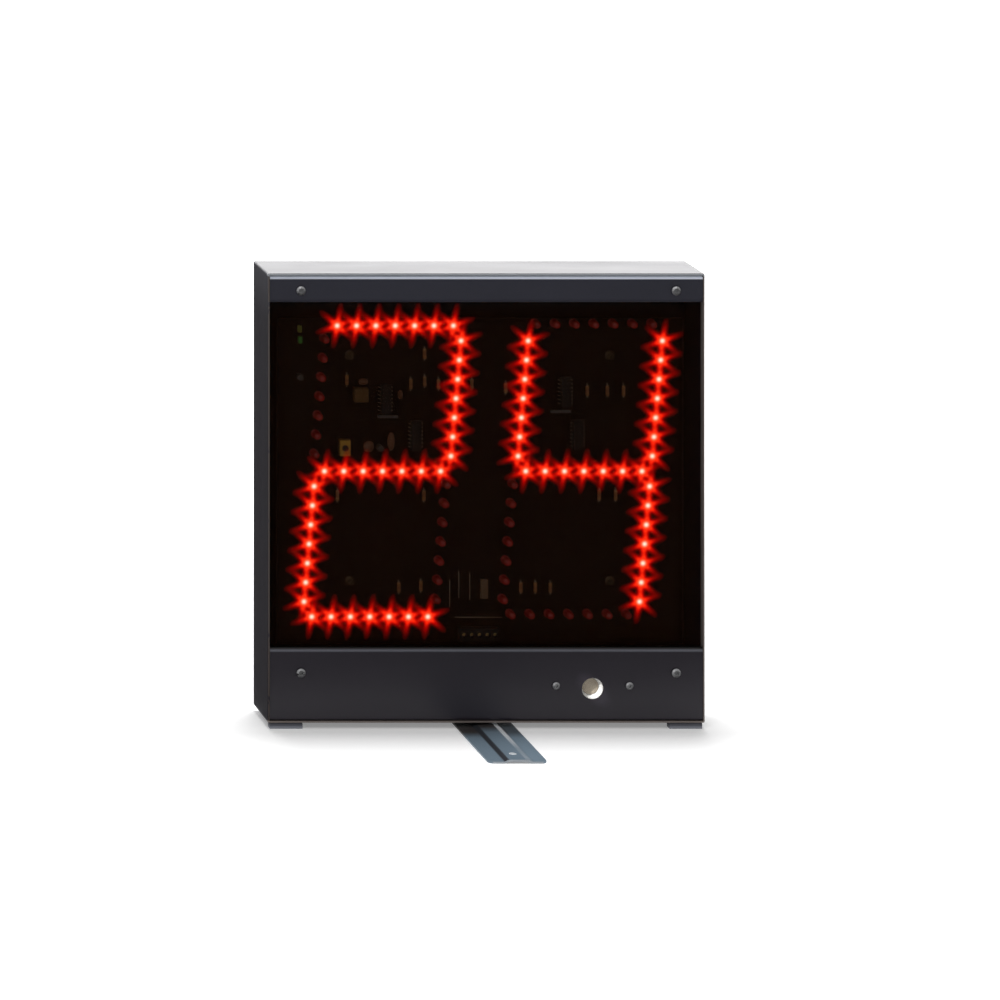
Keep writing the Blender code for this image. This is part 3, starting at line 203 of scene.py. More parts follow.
class CLOCK_PG_stage(bpy.types.PropertyGroup):
    """Camera, lamps and floor."""

    eye: FloatVectorProperty(
        name="Eye", description="Where the camera stands", default=(-0.9055, -3.368, 0.9799), subtype="XYZ"
    )
    aim: FloatVectorProperty(
        name="Aim", description="Middle of the picture", default=(0.0088, -0.02125, 0.1500), subtype="XYZ"
    )
    pixel: length_property("Pixel", "Size at the front of the case of one of a thousand pixels", 0.000654)
    floor_size: length_property("Floor size", "Side of the floor", 12.0)
    floor: colour_property("Floor", "Pale floor", (0.86, 0.86, 0.86))
    key_power: FloatProperty(name="Key power", description="Lamp over the case", default=34.0, min=0)
    fill_power: FloatProperty(name="Fill power", description="Lamp before the case", default=12.0, min=0)
    strip_power: FloatProperty(name="Strip power", description="Lamp behind the top", default=7.5, min=0)
    snoot_power: FloatProperty(
        name="Snoot power", description="Narrow lamp on the sounder", default=28.0, min=0
    )
    sky: FloatProperty(name="Sky", description="Strength of the even light", default=0.32, min=0)


class Value:
    """A value in a material's nodes. Python's operators on it add the Math nodes."""

    def __init__(self, tree, socket=None):
        self.tree = tree
        self.socket = socket

    def node(self, kind, settings=None, values=None, output=0):
        """Any node: its settings first, then the values or links of its sockets."""
        made = self.tree.nodes.new(kind)
        for name, setting in (settings or {}).items():
            if name == "stops":
                self.set_stops(made.color_ramp.elements, setting)
            else:
                setattr(made, name, setting)
        for key, value in (values or {}).items():
            if isinstance(value, Value):
                self.tree.links.new(value.socket, made.inputs[key])
            else:
                made.inputs[key].default_value = value
        return Value(self.tree, made.outputs[output])

    @staticmethod
    def set_stops(elements, stops):
        while len(elements) < len(stops):
            elements.new(1)
        for element, (position, colour) in zip(elements, stops):
            element.position = position
            element.color = (*colour, 1)

    def math(self, operation, first, second=0.0):
        return self.node("ShaderNodeMath", {"operation": operation}, {0: first, 1: second})

    def __add__(self, other):
        return self.math("ADD", self, other)

    def __sub__(self, other):
        return self.math("SUBTRACT", self, other)

    def __rsub__(self, other):
        return self.math("SUBTRACT", other, self)

    def __mul__(self, other):
        return self.math("MULTIPLY", self, other)

    def __gt__(self, other):
        return self.math("GREATER_THAN", self, other)

    def __lt__(self, other):
        return self.math("LESS_THAN", self, other)

    def __abs__(self):
        return self.math("ABSOLUTE", self)

    __radd__ = __add__
    __rmul__ = __mul__

    def mix(self, low, high):
        """Goes from one colour to another where this value goes from 0 to 1."""
        low, high = (c if isinstance(c, Value) else (*c, 1) for c in (low, high))
        settings = {"data_type": "RGBA"}
        return self.node("ShaderNodeMix", settings, {0: self, 6: low, 7: high}, output=2)


class Finish:
    """A material with one Principled BSDF. Fixed values go straight on its sockets."""

    def __init__(self, name, **fixed):
        self.material = bpy.data.materials.new(name)
        self.material.use_nodes = True
        tree = self.material.node_tree
        self.shader = tree.nodes["Principled BSDF"]
        self.start = Value(tree)
        for key, value in fixed.items():
            self.shader.inputs[key.replace("_", " ")].default_value = value
        self.where = self.start.node("ShaderNodeTexCoord", output="Object")

    def along(self, axis):
        """The place along one axis."""
        return self.start.node("ShaderNodeSeparateXYZ", None, {0: self.where}, "XYZ".index(axis))

    def noise(self, grain, detail=2.0, stretch=(1, 1, 1)):
        """Soft noise from 0 to 1, its grain a length, stretched along the axes."""
        values = {"Vector": self.where, "Scale": tuple(1 / (grain * s) for s in stretch)}
        mapped = self.start.node("ShaderNodeMapping", {"vector_type": "POINT"}, values)
        return self.start.node(
            "ShaderNodeTexNoise", None, {"Vector": mapped, "Scale": 1.0, "Detail": detail, "Roughness": 0.55}
        )

    @staticmethod
    def limit(value):
        """The value, held between 0 and 1."""
        return value.math("MINIMUM", value.math("MAXIMUM", value, 0.0), 1.0)

    def rise(self, value, start, length):
        """0 up to the start, then up to 1 over the length."""
        return self.limit((value - start) * (1 / length))

    def fall(self, value, end, length):
        """1 at first, then down to 0 over the length that leads to the end."""
        return self.limit((end - value) * (1 / length))

    def vary(self, socket, value):
        """Feeds a socket of the shader with what changes over the surface."""
        value.tree.links.new(value.socket, self.shader.inputs[socket])

    def bump(self, height, depth):
        """Surface relief: the height runs from 0 to 1 over the given depth."""
        values = {"Height": height, "Distance": depth, "Strength": 1.0}
        self.vary("Normal", self.start.node("ShaderNodeBump", None, values))


def shades(colour, spread):
    """A darker and a lighter tone of a colour."""
    return [tuple(min(1.0, c * factor) for c in colour) for factor in (1 - spread, 1 + spread)]


def speckled(name, colour, roughness, grain=0.6 * MM, depth=0.02 * MM, spread=0.12, **fixed):
    """A moulded or coated surface: fine grain, a slow drift of its tone, and an uneven gloss."""
    made = Finish(name, **fixed)
    drift = made.noise(12 * MM)
    grit = made.noise(grain, 3.0)
    made.vary("Base Color", (drift * 0.6 + grit * 0.4).mix(*shades(colour, spread)))
    made.vary("Roughness", made.noise(4 * MM) * 0.12 + (roughness - 0.06))
    made.bump(grit, depth)
    return made.material


def brushed(name, colour, roughness, stretch=(1, 1, 1), spread=0.12):
    """Bare metal with fine drawn lines, stretched along the axes."""
    made = Finish(name, Metallic=1.0)
    lines = made.noise(0.4 * MM, 2.0, stretch)
    made.vary("Base Color", lines.mix(*shades(colour, spread)))
    made.vary("Roughness", lines * 0.12 + (roughness - 0.06))
    made.bump(lines, 0.008 * MM)
    return made.material


def dress(material, *names):
    """Gives CAD nodes a material, and smooth shading between their sharp edges."""
    for name in names:
        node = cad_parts[name]
        node.data.materials.clear()
        node.data.materials.append(material)
        soften(node)


def soften(obj, angle=35):
    """Smooth shading, with an edge left sharp where its faces meet at more than the angle."""
    obj.data.shade_smooth()
    obj.data.set_sharp_from_angle(angle=math.radians(angle))


def nodes_named(*starts):
    """The names of the CAD nodes that start so, in order."""
    return sorted(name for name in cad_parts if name.startswith(starts))


def centre(name):
    """The middle of a CAD node's box."""
    low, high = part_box(name)
    return (low + high) / 2


def millimetres(points):
    """Points that are given in millimetres, in the script's metres."""
    return [tuple(value * MM for value in point) for point in points]


def put(name, data):
    """A new object in the scene."""
    obj = bpy.data.objects.new(name, data)
    bpy.context.scene.collection.objects.link(obj)
    return obj


def piece(name, mesh, material, body="case", angle=35):
    """A new piece in the scene, riding on a body."""
    obj = put(name, mesh)
    mesh.materials.append(material)
    soften(obj, angle)
    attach(obj, body)
    return obj


def mesh_of(name, shape):
    """A mesh of a bmesh shape, which it uses up."""
    mesh = bpy.data.meshes.new(name)
    shape.to_mesh(mesh)
    shape.free()
    return mesh


def joined(name, meshes):
    """One mesh of several, which it uses up."""
    shape = bmesh.new()
    for mesh in meshes:
        shape.from_mesh(mesh)
        bpy.data.meshes.remove(mesh)
    return mesh_of(name, shape)


def copies(name, mesh, places):
    """One mesh with a copy of the given mesh at each place."""
    moved = []
    for place in places:
        copy = mesh.copy()
        copy.transform(Matrix.Translation(place))
        moved.append(copy)
    bpy.data.meshes.remove(mesh)
    return joined(name, moved)


def turned(name, profile, sides, axis="front"):
    """Turns (radius, height) points, from the tip down, about an axis that leaves the board or runs up."""
    shape = bmesh.new()
    rings = []
    for radius, height in profile:
        count = sides if radius else 1
        angles = (2 * math.pi * step / sides for step in range(count))
        rings.append([shape.verts.new((radius * math.cos(a), radius * math.sin(a), height)) for a in angles])
    for upper, lower in zip(rings, rings[1:]):
        for step in range(sides):
            after = (step + 1) % sides
            corners = [upper[step % len(upper)], lower[step % len(lower)]]
            corners += [lower[after % len(lower)], upper[after % len(upper)]]
            shape.faces.new(list(dict.fromkeys(corners)))
    mesh = mesh_of(name, shape)
    if axis == "front":
        mesh.transform(Matrix.Rotation(math.radians(90), 4, "X"))
    return mesh


def soft_block(name, size, edge):
    """A block with rounded edges that stands on the board, its size in millimetres."""
    width, depth, height = (side * MM for side in size)
    shape = bmesh.new()
    middle = Matrix.Translation((0, -depth / 2, 0))
    bmesh.ops.create_cube(shape, size=1, matrix=middle @ Matrix.Diagonal((width, depth, height, 1)))
    bmesh.ops.bevel(shape, geom=shape.edges[:], offset=edge * MM, segments=2, profile=0.5, affect="EDGES")
    return mesh_of(name, shape)


def wires(name, paths, radius, material, body="case"):
    """Round wires through the given points."""
    curve = bpy.data.curves.new(name, "CURVE")
    curve.dimensions = "3D"
    curve.bevel_depth = radius
    curve.bevel_resolution = 1
    curve.use_fill_caps = True
    for path in paths:
        spline = curve.splines.new("POLY")
        spline.points.add(len(path) - 1)
        for point, place in zip(spline.points, path):
            point.co = (*place, 1)
    curve.materials.append(material)
    obj = put(name, curve)
    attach(obj, body)
    return obj


def on_board(places):
    """Places on the board's face, given in millimetres across and up from the digits' centre."""
    return [Vector((x * MM, BOARD_FACE, DIGITS_Z + z * MM)) for x, z in places]


def led_places(display):
    """The places of the lit and the unlit LEDs, as two lists of (x, z)."""
    steps = [count - LEDS_PER_SEGMENT // 2 for count in range(LEDS_PER_SEGMENT)]
    half, reach = display.half_width, display.reach
    rows = {0: reach, 6: 0.0, 3: -reach}
    columns = {1: (half, 0.5), 2: (half, -0.5), 4: (-half, -0.5), 5: (-half, 0.5)}
    lit, unlit = [], []
    for side, figure in ((-0.5, display.count // 10), (0.5, display.count % 10)):
        for segment in range(SEGMENTS):
            chosen = lit if FIGURES[figure] >> segment & 1 else unlit
            for step in steps:
                if segment in rows:
                    x, z = step * display.row_pitch, rows[segment]
                else:
                    x, level = columns[segment]
                    z = level * reach + step * display.column_pitch
                chosen.append((side * display.spacing + x + z * math.tan(display.slant), DIGITS_Z + z))
    return lit, unlit


class PieceOperator:
    """What the operators share."""

    bl_options = {"REGISTER", "UNDO"}

    def execute(self, context):
        self.make(context.scene)
        return {"FINISHED"}


class CLOCK_OT_paint(PieceOperator, bpy.types.Operator):
    """Paint the folded case and the two front panels, bare along the case's cut edge, with painted highlights
    on the folds and painted light inside the front edge
    """

    bl_idname = "clock.paint"
    bl_label = "Case paint"

    def make(self, scene):
        colours = scene.clock_case
        made, paint, gloss = self.satin("case paint", colours.paint)
        x, y, z = (made.along(axis) for axis in "XYZ")
        pale_height, skin, wall, top_wall = 30 * MM, 0.3 * MM, 1.6 * MM, 1.8 * MM
        # Painted light: the upper part of the case's left side is lightened a little towards the fold
        # highlight
        pale = made.rise(z, CASE_HIGH.z - pale_height, pale_height) * (x < CASE_LOW.x + 0.5 * MM)
        paint = (pale * 0.05).mix(paint, colours.fold_highlight)
        face, mouth, deep = (y < CASE_FRONT + depth * MM for depth in (0.4, 3.0, 6.5))
        # The top's cut edge, and painted light on the underside of the top just inside the front, where the
        # gap is in shade
        top = (z > CASE_HIGH.z - top_wall) * made.limit(face + mouth * (z < CASE_HIGH.z - skin))
        # Lighter lip: the bottom edge near the front is bare; inside the right wall near the front it is
        # painted light where that wall is in shade
        low = (z < CASE_LOW.z + wall) * mouth
        right = x > CASE_HIGH.x - wall
        side = (x < CASE_HIGH.x - skin) * right * deep + face * right
        bare_and_lit_lip = made.limit(low + made.limit(side) * 0.5)
        chips = made.noise(2.2 * MM, 4.0, (3, 1, 3)) > 0.36
        edge = made.limit(face * chips - top)
        tone = bare_and_lit_lip.mix(edge.mix(paint, colours.bare_edge), colours.bare_and_lit_lip)
        made.vary("Base Color", top.mix(tone, colours.top_edge_and_lit_gap))
        made.vary("Roughness", gloss + edge * 0.08)
        dress(made.material, "case_shell")
        self.panel("upper_front_strip", colours, colours.strip, (2.4 * MM, -1.0 * MM), 1.10, 2.0)
        self.panel("lower_front_panel", colours, colours.paint, (3.0 * MM, 1.0 * MM), 0.10, 0.0)

    def panel(self, name, colours, tone, fold, share, drift):
        """A front panel whose upper fold gets a painted highlight between two depths, by a share that may
        drift, and painted shade above the shallower depth.
        """
        made, paint, gloss = self.satin(name.replace("_", " "), tone)
        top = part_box(name)[1].z
        z = made.along("Z")
        deep, shallow = fold
        # Painted highlight along the upper fold, where light from above falls on its round
        near = made.rise(z, top - deep, 0.7 * MM) * made.fall(z, top - shallow, 0.4 * MM)
        patchy = made.noise(3.5 * MM, 3.0, (4, 1, 1)) * 0.35 + (made.along("X") * drift + 0.85)
        fold_highlight = made.limit(near * patchy * share)
        dark = made.rise(z, top - shallow, 0.4 * MM)
        paint = dark.mix(fold_highlight.mix(paint, colours.fold_highlight), DEEP_SHADE)
        made.vary("Base Color", paint)
        made.vary("Roughness", gloss)
        dress(made.material, name)

    @staticmethod
    def satin(name, colour):
        """Anthracite paint with a slow drift of its tone and a fine orange peel."""
        made = Finish(name, Specular_IOR_Level=0.30)
        peel = made.noise(1.1 * MM, 2.0)
        grit = made.noise(0.35 * MM, 2.0)
        paint = (made.noise(50 * MM) * 0.7 + grit * 0.3).mix(*shades(colour, 0.16))
        made.bump(peel * 0.7 + grit * 0.3, 0.012 * MM)
        return made, paint, made.noise(20 * MM, 3.0, (4, 1, 1)) * 0.10 + 0.29


class CLOCK_OT_window(PieceOperator, bpy.types.Operator):
    """Smoke the window"""

    bl_idname = "clock.window"
    bl_label = "Window"

    def make(self, scene):
        made = Finish("smoked acrylic", Specular_IOR_Level=0.07)
        smears = made.noise(30 * MM, 3.0, (2, 1, 1))
        made.vary("Base Color", smears.mix(*shades(scene.clock_case.smoke, 0.15)))
        made.vary("Roughness", smears * 0.05 + 0.03)
        made.vary("Alpha", made.noise(80 * MM) * 0.04 + WINDOW_COVER)
        dress(made.material, "window")


class CLOCK_OT_fasteners(PieceOperator, bpy.types.Operator):
    """Give the screws, pillars, spacers and inserts their zinced steel"""

    bl_idname = "clock.fasteners"
    bl_label = "Fasteners"

    def make(self, scene):
        steel = brushed("zinced steel", scene.clock_case.steel, 0.30)
        starts = ("corner_", "front_pillar", "pillar_screw", "board_standoff", "wall_insert")
        dress(steel, *nodes_named(*starts, "sounder_screw", "inlet_screw", "pivot_"))
        dress(brushed("bronzed steel", (0.10, 0.07, 0.04), 0.4), *nodes_named("board_screw"))


class CLOCK_OT_boards(PieceOperator, bpy.types.Operator):
    """Finish both boards, the chips, the capacitor, the trimmer and the connector"""

    bl_idname = "clock.boards"
    bl_label = "Boards and chips"

    def make(self, scene):
        colours = scene.clock_board
        self.mask(colours)
        black = speckled("chip plastic", colours.chip, 0.5, Specular_IOR_Level=0.25)
        dress(black, "board_connector", *nodes_named("driver_chip"))
        dress(speckled("amber dip", colours.amber, 0.35, grain=1.5 * MM), "box_capacitor")
        dress(speckled("yellow plastic", colours.yellow, 0.45), "control_rail_left", "control_rail_right")
        self.trimmer(colours)

    @staticmethod
    def mask(colours):
        """Dark solder mask, with patches where the tracks show through."""
        made = Finish("solder mask", Specular_IOR_Level=0.12)
        flat = made.start.node("ShaderNodeCombineXYZ", None, {0: made.along("X"), 1: made.along("Z")})
        tracks = made.start.node(
            "ShaderNodeTexBrick",
            {"offset": 0.37, "squash": 1.6, "squash_frequency": 3},
            {
                "Vector": flat,
                "Scale": 110.0,
                "Mortar Size": 0.035,
                "Mortar Smooth": 0.3,
                "Brick Width": 1.3,
                "Row Height": 0.31,
            },
            output="Fac",
        )
        shown = tracks * (made.noise(18 * MM) > 0.46)
        made.vary("Base Color", shown.mix(colours.mask, colours.trace))
        made.vary("Roughness", made.noise(3 * MM) * 0.15 + 0.42)
        made.bump(shown + made.noise(0.8 * MM) * 0.3, 0.03 * MM)
        dress(made.material, "display_board", "control_board")

    @staticmethod
    def trimmer(colours):
        """Yellow on its front, darker down its sides."""
        made = Finish("trimmer body", Roughness=0.45)
        top = made.fall(made.along("Y"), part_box("trimmer")[0].y + 0.9 * MM, 0.4 * MM)
        yellow = made.noise(1.5 * MM, 3.0).mix(*shades(colours.yellow, 0.12))
        made.vary("Base Color", top.mix(TRIMMER_SIDES, yellow))
        dress(made.material, "trimmer")


class CLOCK_OT_leds(PieceOperator, bpy.types.Operator):
    """Make the LEDs: smooth domes on flanged barrels, lit and unlit"""

    bl_idname = "clock.leds"
    bl_label = "LEDs"

    def make(self, scene):
        display = scene.clock_display
        radius, flange = display.led_radius, display.flange_radius
        proud, step, rim = 0.02 * MM, 1.3 * MM, 1.1 * MM
        shoulder = BOARD_FACE - LED_TIP + proud - radius
        dome = [math.radians(angle) for angle in (0, 22, 44, 66, 90)]
        profile = [(radius * math.sin(a), shoulder + radius * math.cos(a)) for a in dome]
        profile += [(radius, step), (flange, rim), (flange, 0.0)]
        unlit = speckled("red LED plastic", display.dark, 0.25, grain=2 * MM, depth=0.01 * MM)
        materials = (self.glowing(display), unlit)
        for state, places, material in zip(("lit", "unlit"), led_places(display), materials):
            spots = [(x, BOARD_FACE, z) for x, z in places]
            mesh = copies(state + "_leds", turned("led", profile, 14), spots)
            piece(state + "_leds", mesh, material, angle=50)

    def glowing(self, display):
        """Lit red plastic, palest at the dome's tip."""
        made = Finish("lit LED plastic", Base_Color=(*display.dark, 1), Emission_Strength=2.5)
        tip = made.fall(made.along("Y"), LED_TIP + 0.6 * MM, 0.6 * MM)
        made.vary("Emission Color", tip.mix((0.02, 0.0, 0.0), (1.0, 0.10, 0.03)))
        made.vary("Roughness", made.noise(1 * MM) * 0.1 + 0.2)
        return made.material


class CLOCK_OT_starlight(PieceOperator, bpy.types.Operator):
    """Spread each lit LED's starlight on one thin sheet between the LEDs and the window"""

    bl_idname = "clock.starlight"
    bl_label = "Starlight"

    def make(self, scene):
        display = scene.clock_display
        lit, _ = led_places(display)
        margin = display.ray_length
        columns = self.steps([x for x, _ in lit], margin, display.glow_step)
        rows = self.steps([z for _, z in lit], margin, display.glow_step)
        across, up = np.meshgrid(columns, rows)
        red, pale = np.zeros_like(across), np.zeros_like(across)
        for x, z in lit:
            glow, core = self.star(across - x, up - z, display)
            red += glow
            pale += core
        light = RED_SHARE * np.minimum(red, 1) + (1 - RED_SHARE) * np.minimum(pale, 1)
        mesh = self.sheet(across, up, light)
        made = Finish(
            "starlight", Base_Color=(0, 0, 0, 1), Roughness=1.0, Specular_IOR_Level=0.0, Emission_Strength=4.0
        )
        level = made.start.node("ShaderNodeAttribute", {"attribute_name": "light"}, output="Fac")
        colour = level.node("ShaderNodeValToRGB", {"stops": STARLIGHT_STOPS}, {"Fac": level})
        made.vary("Emission Color", colour)
        made.vary("Alpha", level.math("MINIMUM", level * (1 / STARLIGHT_STOPS[0][0]), 1.0))
        obj = piece("starlight", mesh, made.material)
        obj.visible_diffuse = obj.visible_glossy = obj.visible_shadow = False

    @staticmethod
    def steps(values, margin, step):
        return np.arange(min(values) - margin, max(values) + margin, step)

    @staticmethod
    def star(x, z, display):
        """The red light about one LED, a round glow and six rays that fade and widen, and its pale core."""
        distance = np.hypot(x, z)
        red = display.glow_level * np.exp(-((distance / display.glow_radius) ** GLOW_STEEPNESS))
        for ray in range(6):
            angle = display.ray_turn + ray * math.pi / 3
            along = x * math.cos(angle) + z * math.sin(angle)
            aside = np.abs(z * math.cos(angle) - x * math.sin(angle))
            share = np.clip(along / display.ray_length, 0, 1)
            width = display.ray_width * (1 + RAY_WIDENING * share)
            fall = np.exp(-np.maximum(along, 0) / display.ray_fade) * (1 - share) * (along > 0)
            red += display.ray_level * fall * np.exp(-((aside / width) ** 2))
        return red, np.exp(-((distance / display.core_radius) ** 2))

    @staticmethod
    def sheet(across, up, light):
        """The part of the grid that is lit, as one mesh with the light at each corner."""
        y = (LED_TIP + WINDOW_BACK) / 2
        rows, columns = light.shape
        corner = np.arange(rows * columns).reshape(rows, columns)
        faces = np.stack([corner[:-1, :-1], corner[:-1, 1:], corner[1:, 1:], corner[1:, :-1]], axis=-1)
        faces = faces.reshape(-1, 4)
        flat = np.clip(light, 0, 1).ravel()
        faces = faces[flat[faces].max(axis=1) > DARKEST_LIGHT]
        used, index = np.unique(faces, return_inverse=True)
        points = np.stack([across.ravel(), np.full(rows * columns, y), up.ravel()], axis=1)[used]
        mesh = bpy.data.meshes.new("starlight")
        mesh.from_pydata(points.tolist(), [], index.reshape(-1, 4).tolist())
        layer = mesh.attributes.new("light", "FLOAT", "POINT")
        layer.data.foreach_set("value", flat[used].astype(np.float32))
        return mesh


class CLOCK_OT_board_parts(PieceOperator, bpy.types.Operator):
    """Solder the small parts on the display board: resistors, jumpers, ceramics, cans and pilots"""

    bl_idname = "clock.board_parts"
    bl_label = "Board parts"

    def make(self, scene):
        colours = scene.clock_board
        tin = brushed("tinned wire", (0.25, 0.21, 0.155), 0.35)
        self.resistors(colours, tin)
        self.ceramics(colours, tin)
        self.tall_parts()
        self.trimmer_rotor()
        self.chip_legs(tin)
        self.connector_contacts()

    def resistors(self, colours, tin):
        """Waisted bodies with five bands each, the legs of them and of the jumpers, and the bus wire."""
        body = [(0, 3.3), (0.95, 3.1), (1.25, 2.6), (1.25, 1.7), (1.0, 1.2), (1.0, -1.2)]
        body += [(1.25, -1.7), (1.25, -2.6), (0.95, -3.1), (0, -3.3)]
        height = 1.5 * MM
        places = [place + Vector((0, -height, 0)) for place in on_board(RESISTORS)]
        mesh = copies("resistors", turned("resistor", millimetres(body), 12, axis="up"), places)
        piece("resistors", mesh, speckled("resistor lacquer", colours.resistor, 0.35))
        bands, half = [], 0.25
        for middle, radius in ((2.15, 1.27), (0.8, 1.02), (0.0, 1.02), (-0.8, 1.02), (-2.15, 1.27)):
            band = millimetres([(radius, middle + half), (radius, middle - half)])
            bands.append(copies("bands", turned("band", band, 12, axis="up"), places))
        lacquer = speckled("band lacquer", colours.band, 0.4)
        piece("resistor_bands", joined("resistor_bands", bands), lacquer)
        legs = [self.bridge(place, 4.5 * MM, height) for place in on_board(RESISTORS)]
        legs += [self.bridge(place, 8.5 * MM, 0.9 * MM) for place in on_board(JUMPERS)]
        start, end, level = BUS
        ends = on_board([(start, level), (end, level)])
        lift = Vector((0, -0.8 * MM, 0))
        legs.append([ends[0], ends[0] + lift, ends[1] + lift, ends[1]])
        wires("component_legs", legs, 0.3 * MM, tin)

    @staticmethod
    def bridge(place, reach, lift):
        """A wire that leaves the board, runs up beside it and goes back in."""
        up, out = Vector((0, 0, 1)), Vector((0, -1, 0))
        bend = 0.5 * MM
        return [
            place - up * reach,
            place - up * reach + out * (lift - bend),
            place - up * (reach - bend) + out * lift,
            place + up * (reach - bend) + out * lift,
            place + up * reach + out * (lift - bend),
            place + up * reach,
        ]

    @staticmethod
    def ceramics(colours, tin):
        """Dipped drops of their own width and height, on two legs each."""
        drop = [(0, 5.2), (0.5, 5.0), (0.88, 4.2), (1.0, 3.2), (0.84, 2.0), (0.42, 1.1), (0, 0.9)]
        drops, legs = [], []
        for x, z, width, height in CERAMICS:
            place = on_board([(x, z)])[0]
            mesh = turned("ceramic", millimetres(drop), 16)
            mesh.transform(Matrix.Translation(place) @ Matrix.Diagonal((width / 2, 1, height / 2, 1)))
            drops.append(mesh)
            for side in (-1.2 * MM, 1.2 * MM):
                start = place + Vector((0, 0, side))
                legs.append([start, start + Vector((0, -2.2 * MM, 0))])
        dip = speckled("ceramic dip", colours.ceramic, 0.35)
        piece("ceramics", joined("ceramics", drops), dip)
        wires("ceramic_legs", legs, 0.25 * MM, tin)

    @staticmethod
    def tall_parts():
        """The electrolytic cans, the resistor network, the crystals and the two pilot lights."""
        can = [(0, 6.6), (1.7, 6.6), (2.0, 6.4), (2.0, 1.3), (1.85, 1.1), (2.0, 0.9), (2.0, 0.2), (1.8, 0)]
        mesh = copies("cans", turned("can", millimetres(can), 16), on_board(ELECTROLYTICS))
        piece("cans", mesh, speckled("can sleeve", (0.050, 0.042, 0.032), 0.4))
        lacquer = speckled("network lacquer", (0.16, 0.085, 0.035), 0.4)
        steel = brushed("crystal can", (0.14, 0.135, 0.13), 0.34, (4, 1, 1))
        yellow = speckled("yellow pilot", (0.20, 0.19, 0.02), 0.3)
        green = speckled("green pilot", (0.05, 0.20, 0.015), 0.3)
        for name, places, size, edge, material, slot in (
            ("resistor_network", NETWORKS, (4.8, 2.4, 12.5), 0.3, lacquer, "amber"),
            ("crystals", CRYSTALS, (13.2, 3.4, 1.5), 0.4, steel, "steel"),
            ("yellow_pilot", PILOTS[:1], (2.6, 3.2, 4.6), 0.5, yellow, "amber"),
            ("green_pilot", PILOTS[1:], (2.6, 3.2, 4.6), 0.5, green, "amber"),
        ):
            block = soft_block(name, size, edge)
            piece(name, copies(name, block, on_board(places)), material)

    @staticmethod
    def trimmer_rotor():
        """The trimmer's screw, a disc with a raised rim in the middle of its front."""
        rotor = [(0, 0.10), (1.5, 0.10), (1.7, 0.25), (2.0, 0.25), (2.1, 0.0)]
        mesh = turned("trimmer_rotor", millimetres(rotor), 20)
        place = centre("trimmer")
        place.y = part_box("trimmer")[0].y
        mesh.transform(Matrix.Translation(place))
        piece("trimmer_rotor", mesh, speckled("rotor", (0.012, 0.005, 0.002), 0.5))

    @staticmethod
    def connector_contacts():
        """A brass dome at the bottom of each of the connector's wells."""
        low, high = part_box("board_connector")
        ways, well = 5, 3.0 * MM
        pitch = (high.x - low.x) / ways
        dome = [(0, 1.6), (0.9, 1.4), (1.25, 0.9), (1.25, 0)]
        level = centre("board_connector").z
        places = [(low.x + pitch * (way + 0.5), low.y + well, level) for way in range(ways)]
        mesh = copies("connector_contacts", turned("contact", millimetres(dome), 12), places)
        piece("connector_contacts", mesh, brushed("brass contact", (0.58, 0.42, 0.16), 0.3))

    @staticmethod
    def chip_legs(tin):
        """Two rows of legs for each chip, out of its long sides and down to the board."""
        legs = []
        pitch, spread, lift, bend, buried = 2.54 * MM, 0.9 * MM, 1.6 * MM, 0.3 * MM, 0.2 * MM
        for name in nodes_named("driver_chip"):
            low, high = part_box(name)
            count = int((high.z - low.z) / pitch)
            first = (low.z + high.z - (count - 1) * pitch) / 2
            for side, edge in ((-1, low.x), (1, high.x)):
                for leg in range(count):
                    z = first + leg * pitch
                    out = edge + side * spread
                    legs.append([
                        Vector((edge - side * buried, BOARD_FACE - lift, z)),
                        Vector((out - side * bend, BOARD_FACE - lift, z)),
                        Vector((out, BOARD_FACE - lift + bend, z)),
                        Vector((out, BOARD_FACE, z)),
                    ])
        wires("chip_legs", legs, 0.28 * MM, tin)


class CLOCK_OT_sounder(PieceOperator, bpy.types.Operator):
    """Finish the sounder's white body and its disc"""

    bl_idname = "clock.sounder"
    bl_label = "Sounder"

    def make(self, scene):
        colours = scene.clock_case
        white = speckled(
            "white moulding", colours.throat, 0.35, grain=0.8 * MM, depth=0.01 * MM, spread=0.03
        )
        dress(white, "sounder_body")
        made = Finish("sounder disc", Metallic=0.2)
        middle, ring_pitch = centre("sounder_disc"), 1.1 * MM
        x, z = made.along("X") - middle.x, made.along("Z") - middle.z
        radius = made.start.math("SQRT", x * x + z * z)
        rings = made.start.math("SINE", radius * (2 * math.pi / ring_pitch)) * 0.5 + 0.5
        stain = made.noise(1.2 * MM, 3.0)
        made.vary("Base Color", (rings * 0.4 + stain * 0.6).mix(*shades(colours.disc, 0.30)))
        made.vary("Roughness", stain * 0.2 + 0.35)
        made.bump(rings, 0.12 * MM)
        dress(made.material, "sounder_disc")


